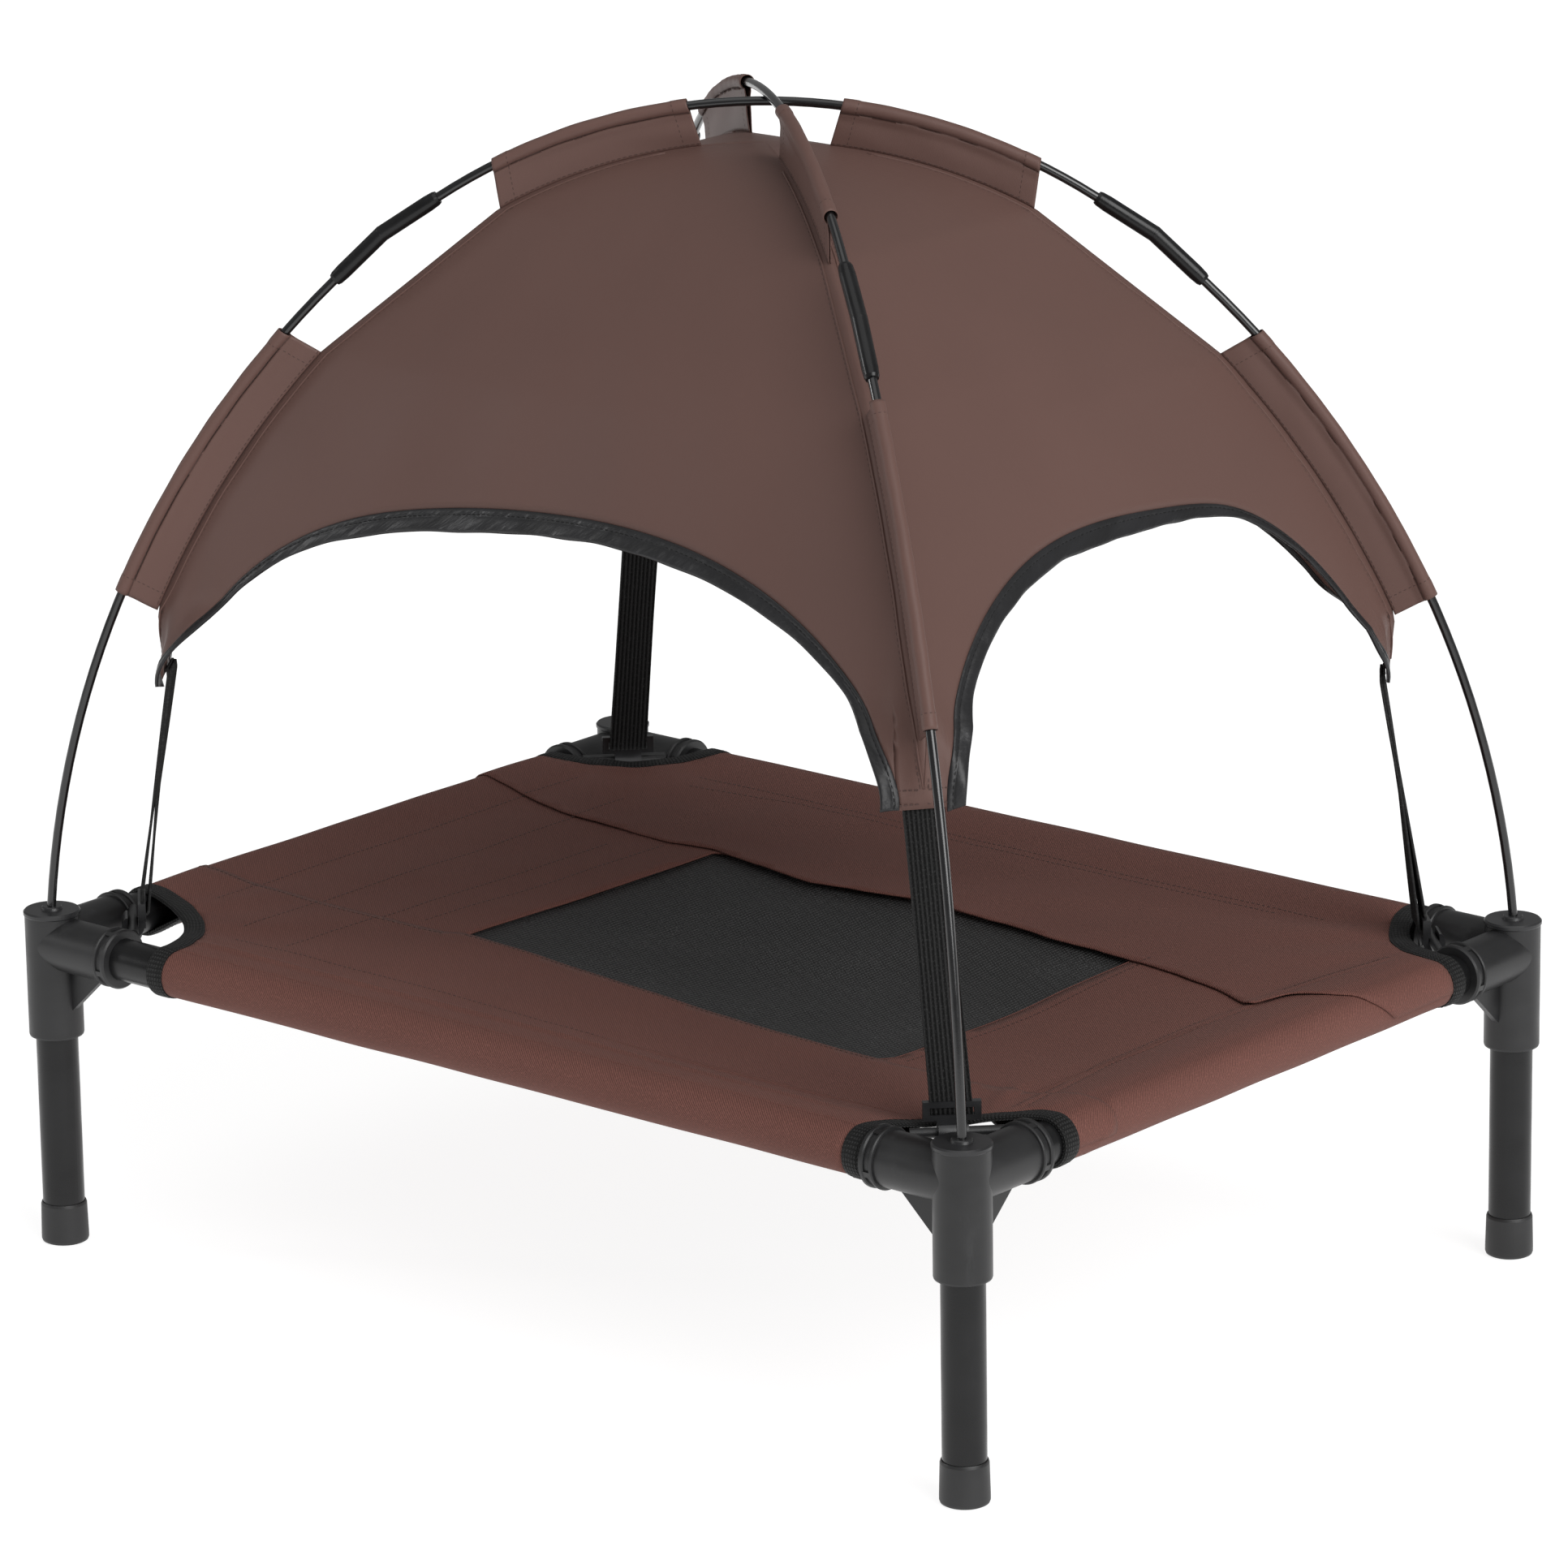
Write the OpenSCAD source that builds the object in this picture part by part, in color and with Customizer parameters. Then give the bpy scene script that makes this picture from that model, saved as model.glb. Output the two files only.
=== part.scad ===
// Raised pet bed with a clip-on dome canopy: four corner connectors on tube legs, a fabric
// sling on four side tubes, and a four-panel canopy hung under two crossing poles.
// Origin at the floor, centred under the bed. +X along the long side, -Y the front, +Z up.

/* [Frame] */
// Distance between the leg axes along the long side
bed_length = 583; // [540:1:640]
// Distance between the leg axes along the short side
bed_width = 429; // [400:1:470]
// Height of the side tubes' axes above the floor
tube_height = 157; // [150:1:190]
// Outer diameter of the leg tubes and side tubes
tube_d = 21; // [19:0.5:22]
// Wall of the steel tubes
tube_wall = 1.2; // [0.8:0.1:2]

/* [Corner connectors] */
// Outer diameter of the upright body
upright_d = 27.5; // [26:0.5:30]
// Outer diameter of the two arms
arm_d = 27; // [26:0.5:29]
// Reach of each arm from the leg axis
arm_reach = 49.7; // [46:0.1:56]
// Diameter of the two ribs at the end of each arm
rib_d = 30; // [28:0.5:32]
// Distance of the hook's cross bar from the leg axis, midway between the arms
bar_reach = 40; // [38:0.5:42]
// Diameter of the hook's cross bar
bar_d = 5; // [4:0.5:6]

/* [Poles] */
// Diameter of the pole rods
rod_d = 4.5; // [4:0.1:5]
// Outer diameter of the kinked ferrules
ferrule_d = 8; // [7:0.5:9]
// Length of a ferrule, end to end along its bend
ferrule_length = 66; // [56:1:76]
// Height of the lower crossing rod at the crown
low_crown = 582; // [575:1:590]
// Height of the upper crossing rod at the crown
high_crown = 586.8; // [580:0.1:596]
// Distance from the centre to each end of a crown rod's curve
shoulder_r = 159; // [150:1:165]
// Height of the two ends of a crown rod's curve
shoulder_z = 534.9; // [530:0.1:540]
// Slope of the lower rods where they enter the ferrules, in degrees
lower_slope = 44; // [42:0.5:46]

/* [Canopy] */
// Depth of the pole sleeves from the rod to the seam on the canopy
sleeve_depth = 20; // [18:0.5:22]
// Height of the tips' lower edge under the low pole and under the high pole
tip_heights = [297, 313]; // [290:1:320]
// Distance of each tip from the centre
tip_r = 300; // [295:1:303]
// Half the width of a long side's arch
long_arch_a = 219; // [210:1:224]
// Height of a long side's arch above the tips
long_arch_b = 94; // [86:1:102]
// Half the width of a short side's arch
short_arch_a = 157; // [148:1:160]
// Height of a short side's arch above the tips
short_arch_b = 96; // [88:1:104]
// Shift of a short side's arch top toward its high pole's corner
short_arch_lean = -8; // [-12:1:4]
// Outward bulge of the panels at the arches
panel_bulge = 6; // [0:1:10]
// Width of the binding tape round the arches
tape_w = 10.8; // [8:0.1:14]
// Width of the elastic straps
strap_w = 19.5; // [16:0.5:20]

/* [Sling] */
// Reach of the corner cut-outs along the long tubes: front left, front right, rear right, rear left
cut_long = [86, 60, 62, 69]; // [60:1:90]
// Reach of the corner cut-outs along the short tubes, in the same order
cut_short = [71, 69, 65, 62]; // [60:1:80]
// Width of the webbing that binds the cut-outs
webbing_w = 9.5; // [9:0.1:10]
// Size and centre of the mesh window: length, width, centre x, centre y
window = [291, 194, 20, -7]; // [-10:1:320]

/* [Hidden] */
corner_names = ["front_left", "front_right", "rear_right", "rear_left"];
side_names = ["front", "right", "rear", "left"];

$fn = 64;

// Corner signs and diagonal directions, in the order of corner_names
signs = [[-1, -1], [1, -1], [1, 1], [-1, 1]];
half_l = bed_length / 2;
half_w = bed_width / 2;
half_diag = sqrt(half_l * half_l + half_w * half_w);
diag_angle = atan2(half_w, half_l);
diag_cos = half_l / half_diag;
diag_sin = half_w / half_diag;
corner_angles = [180 + diag_angle, -diag_angle, diag_angle, 180 - diag_angle];
slack = 0.05;
joint_gap = 0.1;

// Connector heights
body_bottom = tube_height - 48.5;
body_top = tube_height + 14.2;
lid_top = body_top + 2.8;
boss_top = lid_top + 1.6;
pin_bottom = boss_top - 18;
leg_bore_top = tube_height - 16;
tube_end = 17;
bar_z = tube_height + 8;

// Crown curves: [circle centre height, radius, slope at its end], one for each pole
function crown_arc(top) =
    let (h = top - shoulder_z, radius = (shoulder_r * shoulder_r + h * h) / (2 * h))
    [top - radius, radius, asin(shoulder_r / radius)];
low_arc = crown_arc(low_crown);
high_arc = crown_arc(high_crown);
function pole_arc(i) = (i % 2 == 0) ? low_arc : high_arc;

// Ferrule points in the pole's plane [distance from the centre, height]
function knee(i) = let (s = pole_arc(i)[2])
    [shoulder_r + ferrule_length / 2 * cos(s), shoulder_z - ferrule_length / 2 * sin(s)];
function knee_low(i) = knee(i)
    + ferrule_length / 2 * [cos(lower_slope), -sin(lower_slope)];

// Lower curve: one arc from above the socket to the ferrule, [centre, radius, first and last angle]
foot_point = [half_diag, boss_top + 0.5];
function lower_arc(i) =
    let (
        top = knee_low(i),
        dr = foot_point[0] - top[0],
        dz = top[1] - foot_point[1],
        chord = sqrt(dr * dr + dz * dz),
        half_turn = atan2(dz, dr) - lower_slope,
        radius = chord / (2 * sin(half_turn)),
        start = 90 - (lower_slope + 2 * half_turn)
    )
    [foot_point - radius * [cos(start), sin(start)], radius, start, start + 2 * half_turn];

// Canopy ridge: the seam under each pole, as distance from the centre at a height
ridge_crown_r = low_arc[1] - sleeve_depth;
ridge_shoulder = [129, low_arc[0] + sqrt(ridge_crown_r * ridge_crown_r - 129 * 129)];
function sleeve_low_z(i) = tip_heights[i % 2] + 31;
function sleeve_high_z(i) = sleeve_low_z(i) + 130;
function ridge_low(z, i) =
    let (arc = lower_arc(i))
    arc[0][0] + sqrt(pow(arc[1] - sleeve_depth + 0.6, 2) - pow(z - arc[0][1], 2));
function ridge(z, i) =
    let (low = ridge_low(sleeve_low_z(i), i), high = ridge_low(sleeve_high_z(i), i))
    z >= ridge_shoulder[1] ? sqrt(max(0, pow(ridge_crown_r, 2) - pow(z - low_arc[0], 2))) :
    z >= sleeve_high_z(i) ? ridge_shoulder[0] + (high - ridge_shoulder[0])
        * (ridge_shoulder[1] - z) / (ridge_shoulder[1] - sleeve_high_z(i)) :
    z >= sleeve_low_z(i) ? ridge_low(z, i) :
    low + (tip_r - low) * (sleeve_low_z(i) - z) / (sleeve_low_z(i) - tip_heights[i % 2]);

// Canopy panels: fabric between two ridges, [across, out, height], turned flat at the tips.
// The +1 end of a side is its own corner and the -1 end is the next one round.
panel_t = 1.2;
seam_gap = 1.6;
panel_start_r = 3;
panel_start_z = low_arc[0] + sqrt(pow(ridge_crown_r, 2) - pow(panel_start_r, 2));
panel_rows = 12;
panel_cols = 26;
bulge_rise = 80;
fold_rise = 45;
function across(side) = (side % 2 == 0) ? diag_cos : diag_sin;
function outward(side) = (side % 2 == 0) ? diag_sin : diag_cos;
function arch_a(side) = (side % 2 == 0) ? long_arch_a : short_arch_a;
function arch_b(side) = (side % 2 == 0) ? long_arch_b : short_arch_b;
function arch_lean(side) = (side % 2 == 0) ? 0 : short_arch_lean;
function end_pole(side, end) = end > 0 ? side : side + 1;
function end_tip(side, end) = tip_heights[end_pole(side, end) % 2];
function end_point(side, end, z) =
    let (r = ridge(z, end_pole(side, end)))
    [end * (r * across(side) - seam_gap * min(1, r / 20)), r * outward(side)];
function tip_fold(rise) = let (w = max(0, min(1, 1 - rise / fold_rise))) w * w * (3 - 2 * w);
function on_panel(side, f, z) =
    let (
        left = end_point(side, -1, z),
        right = end_point(side, 1, z),
        bulge = panel_bulge * (1 - f * f) * min(1, (panel_start_z - z) / bulge_rise),
        flat = left + (right - left) * (f + 1) / 2 + [0, bulge],
        end = f < 0 ? -1 : 1,
        near = f < 0 ? left : right,
        reach = norm(flat - near),
        fold = tip_fold(z - end_tip(side, end)),
        heading = reach < 0.01 ? [1, 0]
            : (flat - near) / reach * (1 - fold) + [-end * outward(side), across(side)] * fold,
        place = near + heading / norm(heading) * reach
    )
    [place[0], place[1], z];
// A point of the arch, grow outside its free edge, at an angle round the ellipse
function arch_foot(side, grow, angle) =
    let (
        middle = (end_tip(side, 1) + end_tip(side, -1)) / 2,
        tilt = (end_tip(side, 1) - end_tip(side, -1)) / 2,
        z = middle + tilt * cos(angle) + (arch_b(side) + grow) * sin(angle),
        x = (arch_a(side) + grow) * cos(angle) + arch_lean(side) * sin(angle),
        left = end_point(side, -1, z),
        right = end_point(side, 1, z)
    )
    [2 * (x - left[0]) / (right[0] - left[0]) - 1, z];
function arch_point(side, grow, angle, depth) =
    let (foot = arch_foot(side, grow, angle))
    on_panel(side, foot[0], foot[1]) + inner_shift(side, foot[0], foot[1]) * depth;
// From a point of a panel's outside to its inside
steep_below = 340;
slope_above = 460;
function inner_shift(side, f, z) =
    let (
        end = f < 0 ? -1 : 1,
        fold = tip_fold(z - end_tip(side, end)),
        out = [0, 1] * (1 - fold) + [end * across(side), outward(side)] * fold,
        lean = max(0, min(1, (z - steep_below) / (slope_above - steep_below)))
    )
    -0.7 * panel_t * [out[0] / norm(out), out[1] / norm(out), lean];

// Hook sizes, in the plane midway between a connector's arms
hook_inner_r = bar_d / 2 + 0.06;
hook_outer_r = bar_d / 2 + 3.1;
hook_neck_w = 14;
hook_frame_w = 27;
hook_frame_low = bar_z + 4.5;
hook_top = bar_z + 13.5;
hook_plate = [3.2, 6.4];

// Sling levels
fabric_t = 1.6;
sling_top = tube_height + 9.6;
sling_bottom = sling_top - 1.4;
sleeve_r = tube_d / 2 + 0.1 + fabric_t;
seam_inset = 36;

// Places a corner piece drawn at the leg axis with +X and +Y running inward along the tubes
module at_corner(i) {
    mirror([signs[i][0] > 0 ? 1 : 0, 0, 0])
        mirror([0, signs[i][1] > 0 ? 1 : 0, 0])
            translate([-half_l, -half_w, 0])
                children();
}

// Turns +X from the bed's centre to a corner
module to_corner(i) {
    rotate([0, 0, corner_angles[i]])
        children();
}

// At a corner's leg axis, turns +X inward midway between the arms
module between_arms(i) {
    at_corner(i)
        rotate([0, 0, 45])
            children();
}

// Turns a panel drawn with +Y outward to its side: front, right, rear, left
module to_side(side) {
    rotate([0, 0, 180 + 90 * side])
        children();
}

// A round bar bent along an arc in the XZ plane
module arc_bar(centre, radius, from, to, d) {
    translate([centre[0], 0, centre[1]])
        rotate([90, 0, 0])
            rotate([0, 0, from])
                rotate_extrude(angle = to - from, $fn = 180)
                    translate([radius, 0])
                        circle(d = d, $fn = 24);
}

// A straight round bar in the XZ plane from a point, along a direction angle
module straight_bar(from, angle, length, d) {
    translate([from[0], 0, from[1]])
        rotate([0, 90 - angle, 0])
            translate([0, 0, joint_gap])
                cylinder(d = d, h = length, $fn = 24);
}

// Where a rod's curve meets its straight end
module rod_joint(place) {
    translate([place[0], 0, place[1]])
        sphere(d = rod_d + 0.06, $fn = 48);
}

// One arm of a connector along +X, with its end ribs, bridge tabs and gusset web
module connector_arm() {
    translate([0, 0, tube_height])
        rotate([0, 90, 0])
            rotate_extrude()
                polygon([
                    [0, 0], [arm_d / 2, 0], [arm_d / 2, arm_reach - 8.4],
                    [rib_d / 2 - 0.5, arm_reach - 8.2], [rib_d / 2, arm_reach - 7.6],
                    [rib_d / 2, arm_reach - 6.8], [rib_d / 2 - 0.5, arm_reach - 6.2],
                    [arm_d / 2 + 0.2, arm_reach - 6], [arm_d / 2 + 0.2, arm_reach - 3.2],
                    [rib_d / 2 - 0.6, arm_reach - 3], [rib_d / 2, arm_reach - 2.3],
                    [rib_d / 2, arm_reach - 0.9], [rib_d / 2 - 0.8, arm_reach], [0, arm_reach]
                ]);
    for (turn = [0, 90, 180, 270])
        translate([0, 0, tube_height])
            rotate([turn + 20, 0, 0])
                translate([arm_reach - 7, -1.5, 0])
                    cube([5, 3, rib_d / 2 - 0.4]);
    translate([0, 1.7, 0])
        rotate([90, 0, 0])
            linear_extrude(3.4)
                polygon([
                    [10, tube_height - 34], [upright_d / 2 - 1, tube_height - 34],
                    [35.5, tube_height - arm_d / 2 + 0.6], [35.5, tube_height - 8], [10, tube_height - 8]
                ]);
}

module connector(i) {
    color("#26262a")
        at_corner(i)
            difference() {
                union() {
                    rotate_extrude()
                        polygon([
                            [0, body_bottom], [upright_d / 2 - 1.2, body_bottom],
                            [upright_d / 2 - 0.3, body_bottom + 0.5], [upright_d / 2, body_bottom + 1.4],
                            [upright_d / 2, body_top], [0, body_top]
                        ]);
                    connector_arm();
                    mirror([1, -1, 0])
                        connector_arm();
                    rotate([0, 0, 45])
                        translate([bar_reach, 24, bar_z])
                            rotate([90, 0, 0])
                                cylinder(d = bar_d, h = 44);
                }
                translate([0, 0, body_bottom - 1])
                    cylinder(d = tube_d + 2 * slack, h = leg_bore_top - body_bottom + 1);
                translate([tube_end - 0.5, 0, tube_height])
                    rotate([0, 90, 0])
                        cylinder(d = tube_d + 2 * slack, h = arm_reach);
                translate([0, tube_end - 0.5, tube_height])
                    rotate([-90, 0, 0])
                        cylinder(d = tube_d + 2 * slack, h = arm_reach);
                translate([0, 0, pin_bottom - 3])
                    cylinder(r = 8 + slack, h = 30);
            }
}

module pole_socket(i) {
    color("#2c2c30")
        at_corner(i)
            difference() {
                rotate_extrude()
                    polygon([
                        [0, pin_bottom - 3], [8, pin_bottom - 3], [8, body_top + slack],
                        [upright_d / 2 + 0.1, body_top + slack], [upright_d / 2 + 0.5, body_top + 0.6],
                        [upright_d / 2 + 0.5, lid_top - 0.8], [upright_d / 2 - 0.3, lid_top],
                        [5.4, lid_top], [5, boss_top - 0.4], [4.5, boss_top], [0, boss_top]
                    ]);
                translate([0, 0, pin_bottom - 0.4])
                    cylinder(d = rod_d + 0.12, h = 30);
            }
}

module leg_tube(i) {
    color("#1c1c1e")
        at_corner(i)
            difference() {
                translate([0, 0, 3.3])
                    cylinder(d = tube_d, h = leg_bore_top - 4);
                translate([0, 0, 2])
                    cylinder(d = tube_d - 2 * tube_wall, h = leg_bore_top + 10);
            }
}

module foot_cap(i) {
    color("#232326")
        at_corner(i)
            difference() {
                rotate_extrude()
                    polygon([
                        [0, 0], [10.6, 0], [11.5, 0.5], [11.9, 1.6], [11.9, 4],
                        [11.5, 19.6], [11.2, 20.5], [10.9, 21], [0, 21]
                    ]);
                translate([0, 0, 3.2])
                    cylinder(d = tube_d + 2 * slack, h = 30);
            }
}

module side_tube(side) {
    long_side = side % 2 == 0;
    reach = (long_side ? half_l : half_w) - tube_end;
    color("#1c1c1e")
        to_side(side)
            translate([0, long_side ? half_w : half_l, tube_height])
                rotate([0, 90, 0])
                    difference() {
                        cylinder(d = tube_d, h = 2 * reach, center = true);
                        cylinder(d = tube_d - 2 * tube_wall, h = 2 * reach + 2, center = true);
                    }
}

// Quarter of a flattened ellipse at a corner, from the long tube round to the short tube
cut_power = 1.18;
function cut_curve(i, inset, from, to) = [
    for (k = [0:16])
        let (angle = from + (to - from) * k / 16)
        [(cut_long[i] - inset) * pow(max(0, cos(angle)), cut_power),
            (cut_short[i] - inset) * pow(max(0, sin(angle)), cut_power)]
];

// Fabric wrapped round a tube along +X and stitched down inward of it: the cross-section
module wrap_section(r, seam) {
    reach = sqrt(seam[0] * seam[0] + seam[1] * seam[1]);
    heading = atan2(seam[1], seam[0]);
    spread = acos(r / reach);
    circle(r = r);
    polygon([
        [0, 0], r * [cos(heading - spread), sin(heading - spread)], seam,
        r * [cos(heading + spread), sin(heading + spread)]
    ]);
}

// Sleeve of the sling on one side tube, between the cut-outs of two corners
module sling_sleeve(side, from, to) {
    seam_level = sling_top - tube_height;
    to_side(side)
        translate([0, (side % 2 == 0) ? half_w : half_l, tube_height])
            rotate([90, 0, 90])
                translate([0, 0, from])
                    linear_extrude(to - from)
                        mirror([1, 0])
                            difference() {
                                wrap_section(sleeve_r, [seam_inset, seam_level]);
                                wrap_section(tube_d / 2 + 0.1, [seam_inset - 12, seam_level - 4.2]);
                            }
}

module sling() {
    color("#543a34") {
        difference() {
            translate([0, 0, sling_bottom])
                linear_extrude(sling_top - sling_bottom)
                    difference() {
                        square([2 * (half_l - 13), 2 * (half_w - 13)], center = true);
                        for (i = [0:3])
                            mirror([signs[i][0] > 0 ? 1 : 0, 0])
                                mirror([0, signs[i][1] > 0 ? 1 : 0])
                                    translate([-half_l, -half_w])
                                        polygon(concat([[0, 0]], cut_curve(i, 0, 0, 90)));
                        translate([window[2], window[3]])
                            square([window[0], window[1]], center = true);
                    }
        }
        sling_sleeve(0, cut_long[1] - half_l, half_l - cut_long[0]);
        sling_sleeve(1, cut_short[2] - half_w, half_w - cut_short[1]);
        sling_sleeve(2, cut_long[3] - half_l, half_l - cut_long[2]);
        sling_sleeve(3, cut_short[0] - half_w, half_w - cut_short[3]);
    }
}

module mesh_panel() {
    color("#2f3132")
        translate([window[2], window[3], sling_bottom - 0.7])
            cube([window[0] + 24, window[1] + 24, 1.2], center = true);
}

// Webbing along one cut-out and round the two sleeve ends beside it
module sling_binding(i) {
    from = asin(pow(13 / (cut_short[i] - webbing_w), 1 / cut_power));
    to = 90 - asin(pow(13 / (cut_long[i] - webbing_w), 1 / cut_power));
    color("#141414")
        at_corner(i) {
            translate([0, 0, sling_bottom - 0.5])
                linear_extrude(2.6)
                    polygon(concat(
                        cut_curve(i, slack, from, to),
                        [for (k = [0:16]) cut_curve(i, webbing_w, from, to)[16 - k]]
                    ));
            webbing_ring([cut_long[i], 0], [0, 90, 0]);
            webbing_ring([0, cut_short[i]], [-90, 0, 0]);
        }
}

module webbing_ring(place, turn) {
    translate([place[0], place[1], tube_height])
        rotate(turn)
            translate([0, 0, -webbing_w])
                difference() {
                    cylinder(r = sleeve_r + 0.7, h = webbing_w - slack);
                    translate([0, 0, -1])
                        cylinder(d = tube_d + 0.2, h = webbing_w + 2);
                }
}

// Poles
module crown_rod(high) {
    arc = high ? high_arc : low_arc;
    bottom = [shoulder_r, shoulder_z];
    color("#0f0f10")
        rotate([0, 0, high ? -diag_angle : diag_angle]) {
            arc_bar([0, arc[0]], arc[1], 90 - arc[2], 90 + arc[2], rod_d);
            for (m = [0, 1])
                mirror([m, 0, 0]) {
                    straight_bar(bottom, -arc[2], ferrule_length / 2 - 8, rod_d);
                    rod_joint(bottom);
                }
        }
}

module lower_rod(i) {
    arc = lower_arc(i);
    color("#0f0f10")
        to_corner(i) {
            translate([half_diag, 0, pin_bottom])
                cylinder(d = rod_d, h = foot_point[1] - pin_bottom - joint_gap, $fn = 24);
            rod_joint(foot_point);
            arc_bar(arc[0], arc[1], arc[2], arc[3], rod_d);
            rod_joint(knee_low(i));
            straight_bar(knee_low(i), 180 - lower_slope, ferrule_length / 2 - 8, rod_d);
        }
}

// Half a ferrule along +Z from its knee: plain, then drawn down to its end
module ferrule_half() {
    half = ferrule_length / 2;
    rotate_extrude($fn = 48)
        polygon([
            [0, 0], [ferrule_d / 2, 0], [ferrule_d / 2, half - 6],
            [ferrule_d / 2 - 0.3, half - 1.5], [ferrule_d / 2 - 0.8, half], [0, half]
        ]);
}

module ferrule(i) {
    place = knee(i);
    up_turn = -(90 - pole_arc(i)[2]);
    down_turn = 90 + lower_slope;
    color("#161617")
        to_corner(i)
            translate([place[0], 0, place[1]])
                difference() {
                    union() {
                        rotate([0, up_turn, 0])
                            ferrule_half();
                        rotate([0, down_turn, 0])
                            ferrule_half();
                        sphere(d = ferrule_d + 0.1, $fn = 48);
                    }
                    for (turn = [up_turn, down_turn])
                        rotate([0, turn, 0])
                            translate([0, 0, 7.5])
                                cylinder(d = rod_d + 0.1, h = ferrule_length, $fn = 24);
                }
}

// Canopy: one panel between two poles, as a closed shell over its arch
module canopy_panel(side) {
    angles = [for (k = [0:panel_cols]) 180 - 180 * k / panel_cols];
    feet = concat(
        [[-1, end_tip(side, -1)]],
        [for (a = angles) arch_foot(side, tape_w, a)],
        [[1, end_tip(side, 1)]]
    );
    n = len(feet);
    grid = [
        for (row = [0:panel_rows], k = [0:n - 1])
            let (w = row / panel_rows, even = 2 * k / (n - 1) - 1)
            [even + (feet[k][0] - even) * w, panel_start_z - (panel_start_z - feet[k][1]) * w * w]
    ];
    outside = [for (g = grid) on_panel(side, g[0], g[1])];
    inside = [for (g = grid) on_panel(side, g[0], g[1]) + inner_shift(side, g[0], g[1])];
    color("#66504a")
        to_side(side)
            shell(outside, inside, n, panel_rows + 1);
}

// A closed solid between two grids of points, each n wide and m long
module shell(top, under, n, m) {
    count = n * m;
    faces = concat(
        [for (j = [0:m - 2], k = [0:n - 2]) [j * n + k, j * n + k + 1, (j + 1) * n + k]],
        [for (j = [0:m - 2], k = [0:n - 2]) [j * n + k + 1, (j + 1) * n + k + 1, (j + 1) * n + k]],
        [for (j = [0:m - 2], k = [0:n - 2])
            [count + j * n + k, count + (j + 1) * n + k, count + j * n + k + 1]],
        [for (j = [0:m - 2], k = [0:n - 2])
            [count + j * n + k + 1, count + (j + 1) * n + k, count + (j + 1) * n + k + 1]],
        [for (j = [0:m - 2]) [j * n, (j + 1) * n, count + j * n]],
        [for (j = [0:m - 2]) [(j + 1) * n, count + (j + 1) * n, count + j * n]],
        [for (j = [0:m - 2]) [j * n + n - 1, count + j * n + n - 1, (j + 1) * n + n - 1]],
        [for (j = [0:m - 2])
            [(j + 1) * n + n - 1, count + j * n + n - 1, count + (j + 1) * n + n - 1]],
        [for (k = [0:n - 2]) [k, count + k, k + 1]],
        [for (k = [0:n - 2]) [k + 1, count + k, count + k + 1]],
        [for (k = [0:n - 2]) [(m - 1) * n + k, (m - 1) * n + k + 1, count + (m - 1) * n + k]],
        [for (k = [0:n - 2])
            [(m - 1) * n + k + 1, count + (m - 1) * n + k + 1, count + (m - 1) * n + k]]
    );
    polyhedron(concat(top, under), faces);
}

module arch_binding(side) {
    steps = panel_cols;
    angles = [for (k = [0:steps]) 180 - 180 * k / steps];
    widths = [tape_w - 0.1, 0];
    color("#111112")
        to_side(side)
            shell(
                [for (grow = widths, a = angles) arch_point(side, grow, a, -0.4)],
                [for (grow = widths, a = angles) arch_point(side, grow, a, 1.4)],
                steps + 1, 2
            );
}

// A sleeve's web in the pole's plane, between the rod's curve and the canopy's ridge
module web(points) {
    translate([0, 0.6, 0])
        rotate([90, 0, 0])
            linear_extrude(1.2)
                polygon(points);
}

sleeve_d = 6.8;

module upper_sleeve(i) {
    arc = pole_arc(i);
    inner = [37, 31];
    outer = [132, 129];
    rise = arc[1] - sleeve_d / 2 + 0.5;
    steps = 12;
    rod_side = [for (k = [0:steps])
        let (r = inner[0] + (outer[0] - inner[0]) * k / steps)
        [r, arc[0] + sqrt(rise * rise - r * r)]];
    seam_side = [for (k = [0:steps])
        let (r = outer[1] + (inner[1] - outer[1]) * k / steps)
        [r, low_arc[0] + sqrt(ridge_crown_r * ridge_crown_r - r * r) + 0.3]];
    color("#5b463f")
        to_corner(i)
            sleeve(
                concat(rod_side, seam_side), [0, arc[0]], arc[1],
                acos(outer[0] / arc[1]), acos(inner[0] / arc[1])
            );
}

module lower_sleeve(i) {
    arc = lower_arc(i);
    seam_z = [sleeve_low_z(i), sleeve_high_z(i)];
    rod_z = seam_z + [9, 10];
    rise = arc[1] - sleeve_d / 2 + 0.5;
    steps = 12;
    rod_side = [for (k = [0:steps])
        let (z = rod_z[0] + (rod_z[1] - rod_z[0]) * k / steps)
        [arc[0][0] + sqrt(rise * rise - pow(z - arc[0][1], 2)), z]];
    seam_side = [for (k = [0:steps])
        let (z = seam_z[1] + (seam_z[0] - seam_z[1]) * k / steps)
        [ridge_low(z, i) + 0.3, z]];
    color("#5b463f")
        to_corner(i)
            sleeve(
                concat(rod_side, seam_side), arc[0], arc[1],
                asin((rod_z[0] - arc[0][1]) / arc[1]), asin((rod_z[1] - arc[0][1]) / arc[1])
            );
}

// A pole sleeve: a tunnel round the rod's curve with its web below
module sleeve(points, centre, radius, from, to) {
    difference() {
        union() {
            web(points);
            arc_bar(centre, radius, from, to, sleeve_d);
        }
        arc_bar(centre, radius, from - 3, to + 3, rod_d + 0.2);
    }
}

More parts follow.
